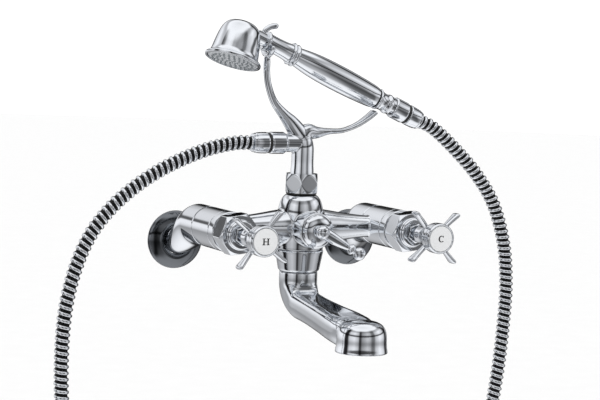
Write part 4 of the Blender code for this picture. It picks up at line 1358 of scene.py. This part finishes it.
build_head()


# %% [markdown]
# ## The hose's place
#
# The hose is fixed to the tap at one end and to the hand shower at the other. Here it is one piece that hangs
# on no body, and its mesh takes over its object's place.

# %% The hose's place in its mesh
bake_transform(hose)


# %% [markdown]
# ## Finishes for the pieces inside
#
# The CAD nodes that nothing replaces are the washers, seals, discs, spindles and screws inside the
# valves and joints. Each keeps its CAD shape and gets the finish of its own material.

# %% Finish the CAD nodes that stay
def finish_of(name):
    if name.endswith("_disc"):
        return ceramic
    if name.endswith("_spindle"):
        return chrome
    if name.endswith(("_handle_screw", "_rotor")):
        return brass
    return rubber


def finish_inner_nodes():
    shown = [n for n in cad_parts.values() if not n.hide_render]
    for obj in shown:
        obj.data.materials.clear()
        obj.data.materials.append(finish_of(obj.name))
    print("inner pieces:", sorted(obj.name for obj in shown))


finish_inner_nodes()


# %% [markdown]
# ## The studio
#
# Chrome shows nothing but its surroundings, so the surroundings are half of the finish. In a real
# studio the metal is lit by a soft box overhead and by white and black boards round it, while the
# paper under and behind it is lit by itself. The same is done here: the paper and everything dull see
# even white light, and mirrors see a painted room of boards. The paper is kept out of the mirrors.

# %% The floor
FLOOR_HEIGHT = -560.0
FLOOR_RADIUS = 14000.0
FLOOR_SIDES = 96


def studio_paper(name):
    """Matt white studio paper, with cloudy fibres about 50 mm across that hardly show."""
    material, tree, shader = new_finish(name, "#F2F2F2", 0.0, 0.95)
    two_tone(tree, shader, patches(tree, 0.05, 2.0), "#F0F0F0", "#F4F4F4")
    shader.inputs["Specular IOR Level"].default_value = 0.1
    return material


def build_floor():
    verts = [(0.0, 0.0, FLOOR_HEIGHT * MM), *circle(FLOOR_RADIUS, FLOOR_HEIGHT, FLOOR_SIDES)]
    faces = [(0, 1 + k, 1 + (k + 1) % FLOOR_SIDES) for k in range(FLOOR_SIDES)]
    floor = mesh_object("studio_floor", verts, faces)
    floor.data.materials.append(studio_paper("matt_studio_paper"))
    floor.visible_glossy = False
    return floor


build_floor()


# %% What is painted in the room
# Brightness by height, from straight down (0) to straight up (1): bright paper that greys towards the
# horizon, white boards at eye level (0.5), a dark gap above them, higher boards, and the soft box.
ROOM_BY_HEIGHT = [(0.0, 1.0), (0.14, 0.95), (0.25, 0.80), (0.35, 0.62), (0.41, 0.42), (0.445, 0.34),
                  (0.47, 0.75), (0.50, 0.95), (0.535, 0.95), (0.55, 0.12), (0.572, 0.12), (0.59, 0.8),
                  (0.66, 1.0), (0.71, 0.55), (0.74, 0.5), (0.775, 1.0), (1.0, 0.8)]
# Brightness round the room, from behind (0) by the hot side (0.25) and the front (0.5) to the cold
# side (0.75) and back to behind (1).
ROOM_ROUND = [(0.0, 0.72), (0.05, 0.85), (0.10, 1.0), (0.175, 1.0), (0.193, 0.02), (0.237, 0.02),
              (0.265, 0.7), (0.33, 0.9), (0.38, 0.55), (0.396, 0.05), (0.412, 0.05), (0.43, 0.3),
              (0.50, 0.62), (0.535, 0.5), (0.56, 0.18), (0.59, 0.18), (0.615, 0.6), (0.68, 1.0),
              (0.75, 0.7), (0.785, 0.03), (0.82, 0.05), (0.845, 0.4), (0.88, 0.3), (0.90, 0.03),
              (0.945, 0.04), (0.965, 0.5), (1.0, 0.72)]
# How bright the even light is for dull things, and the boards are for mirrors.
ROOM_WHITE = 1.12
BOARD_WHITE = 1.32
# The boards reach this many degrees above and below eye level, and fade out over the next ones.
BOARDS_FULL = 38.0
BOARDS_GONE = 56.0


# %% The painted room
def painted_strip(tree, fac, stops):
    """A colour ramp laid out from (place, brightness) stops, a hair cooler than neutral."""
    ramp = node(tree, "ShaderNodeValToRGB", links=[("Fac", fac)])
    elements = ramp.color_ramp.elements
    while len(elements) > 1:
        elements.remove(elements[-1])
    for i, (place, bright) in enumerate(stops):
        stop = elements[0] if i == 0 else elements.new(place)
        stop.position = place
        stop.color = (bright, bright, bright * 1.01, 1.0)
    return ramp.outputs["Color"]


def evenly(brightness):
    return (brightness, brightness, brightness, 1.0)


def build_boards(tree):
    """The painted room as a colour for each direction."""
    way = node(tree, "ShaderNodeTexCoord").outputs["Generated"]
    parts = node(tree, "ShaderNodeSeparateXYZ", links=[(0, way)])
    forward = node(tree, "ShaderNodeMath", settings={"operation": "MULTIPLY"}, values=[(1, -1.0)],
                   links=[(0, parts.outputs["Y"])])
    turn = node(tree, "ShaderNodeMath", settings={"operation": "ARCTAN2"},
                links=[(0, parts.outputs["X"]), (1, forward.outputs[0])])
    # From -180..180 degrees to 0..1, with the front in the middle.
    round_room = node(tree, "ShaderNodeMapRange", links=[("Value", turn.outputs[0])],
                      values=[("From Min", -math.pi), ("From Max", math.pi)])
    rise = node(tree, "ShaderNodeMath", settings={"operation": "ARCSINE"}, links=[(0, parts.outputs["Z"])])
    height = node(tree, "ShaderNodeMapRange", links=[("Value", rise.outputs[0])],
                  values=[("From Min", -math.pi / 2), ("From Max", math.pi / 2)])
    boards = painted_strip(tree, round_room.outputs[0], ROOM_ROUND)
    levels = painted_strip(tree, height.outputs[0], ROOM_BY_HEIGHT)
    # The boards stand at eye level: above and below them only the height counts.
    off_level = node(tree, "ShaderNodeMath", settings={"operation": "ABSOLUTE"}, links=[(0, rise.outputs[0])])
    fade = node(tree, "ShaderNodeMapRange", settings={"interpolation_type": "SMOOTHSTEP"},
                links=[("Value", off_level.outputs[0])],
                values=[("From Min", math.radians(BOARDS_FULL)), ("From Max", math.radians(BOARDS_GONE)),
                        ("To Min", 1.0), ("To Max", 0.0)])
    mixed = node(tree, "ShaderNodeMix", settings={"data_type": "RGBA", "blend_type": "MULTIPLY"},
                 links=[(0, fade.outputs[0]), (6, levels), (7, boards)])
    strong = node(tree, "ShaderNodeMix", settings={"data_type": "RGBA", "blend_type": "MULTIPLY"},
                  links=[(6, mixed.outputs[2])], values=[(0, 1.0), (7, evenly(BOARD_WHITE))])
    return strong.outputs[2]


def build_room():
    world = bpy.data.worlds.new("studio_room")
    bpy.context.scene.world = world
    world.use_nodes = True
    tree = world.node_tree
    mirror_ray = node(tree, "ShaderNodeLightPath").outputs["Is Glossy Ray"]
    seen = node(tree, "ShaderNodeMix", settings={"data_type": "RGBA"}, values=[(6, evenly(ROOM_WHITE))],
                links=[(0, mirror_ray), (7, build_boards(tree))])
    tree.links.new(seen.outputs[2], tree.nodes["Background"].inputs["Color"])
    print("room painted:", len(ROOM_ROUND), "boards and edges,", len(ROOM_BY_HEIGHT), "levels")


build_room()
# Plain display values, so that white paper comes out white.
bpy.context.scene.view_settings.view_transform = "Standard"
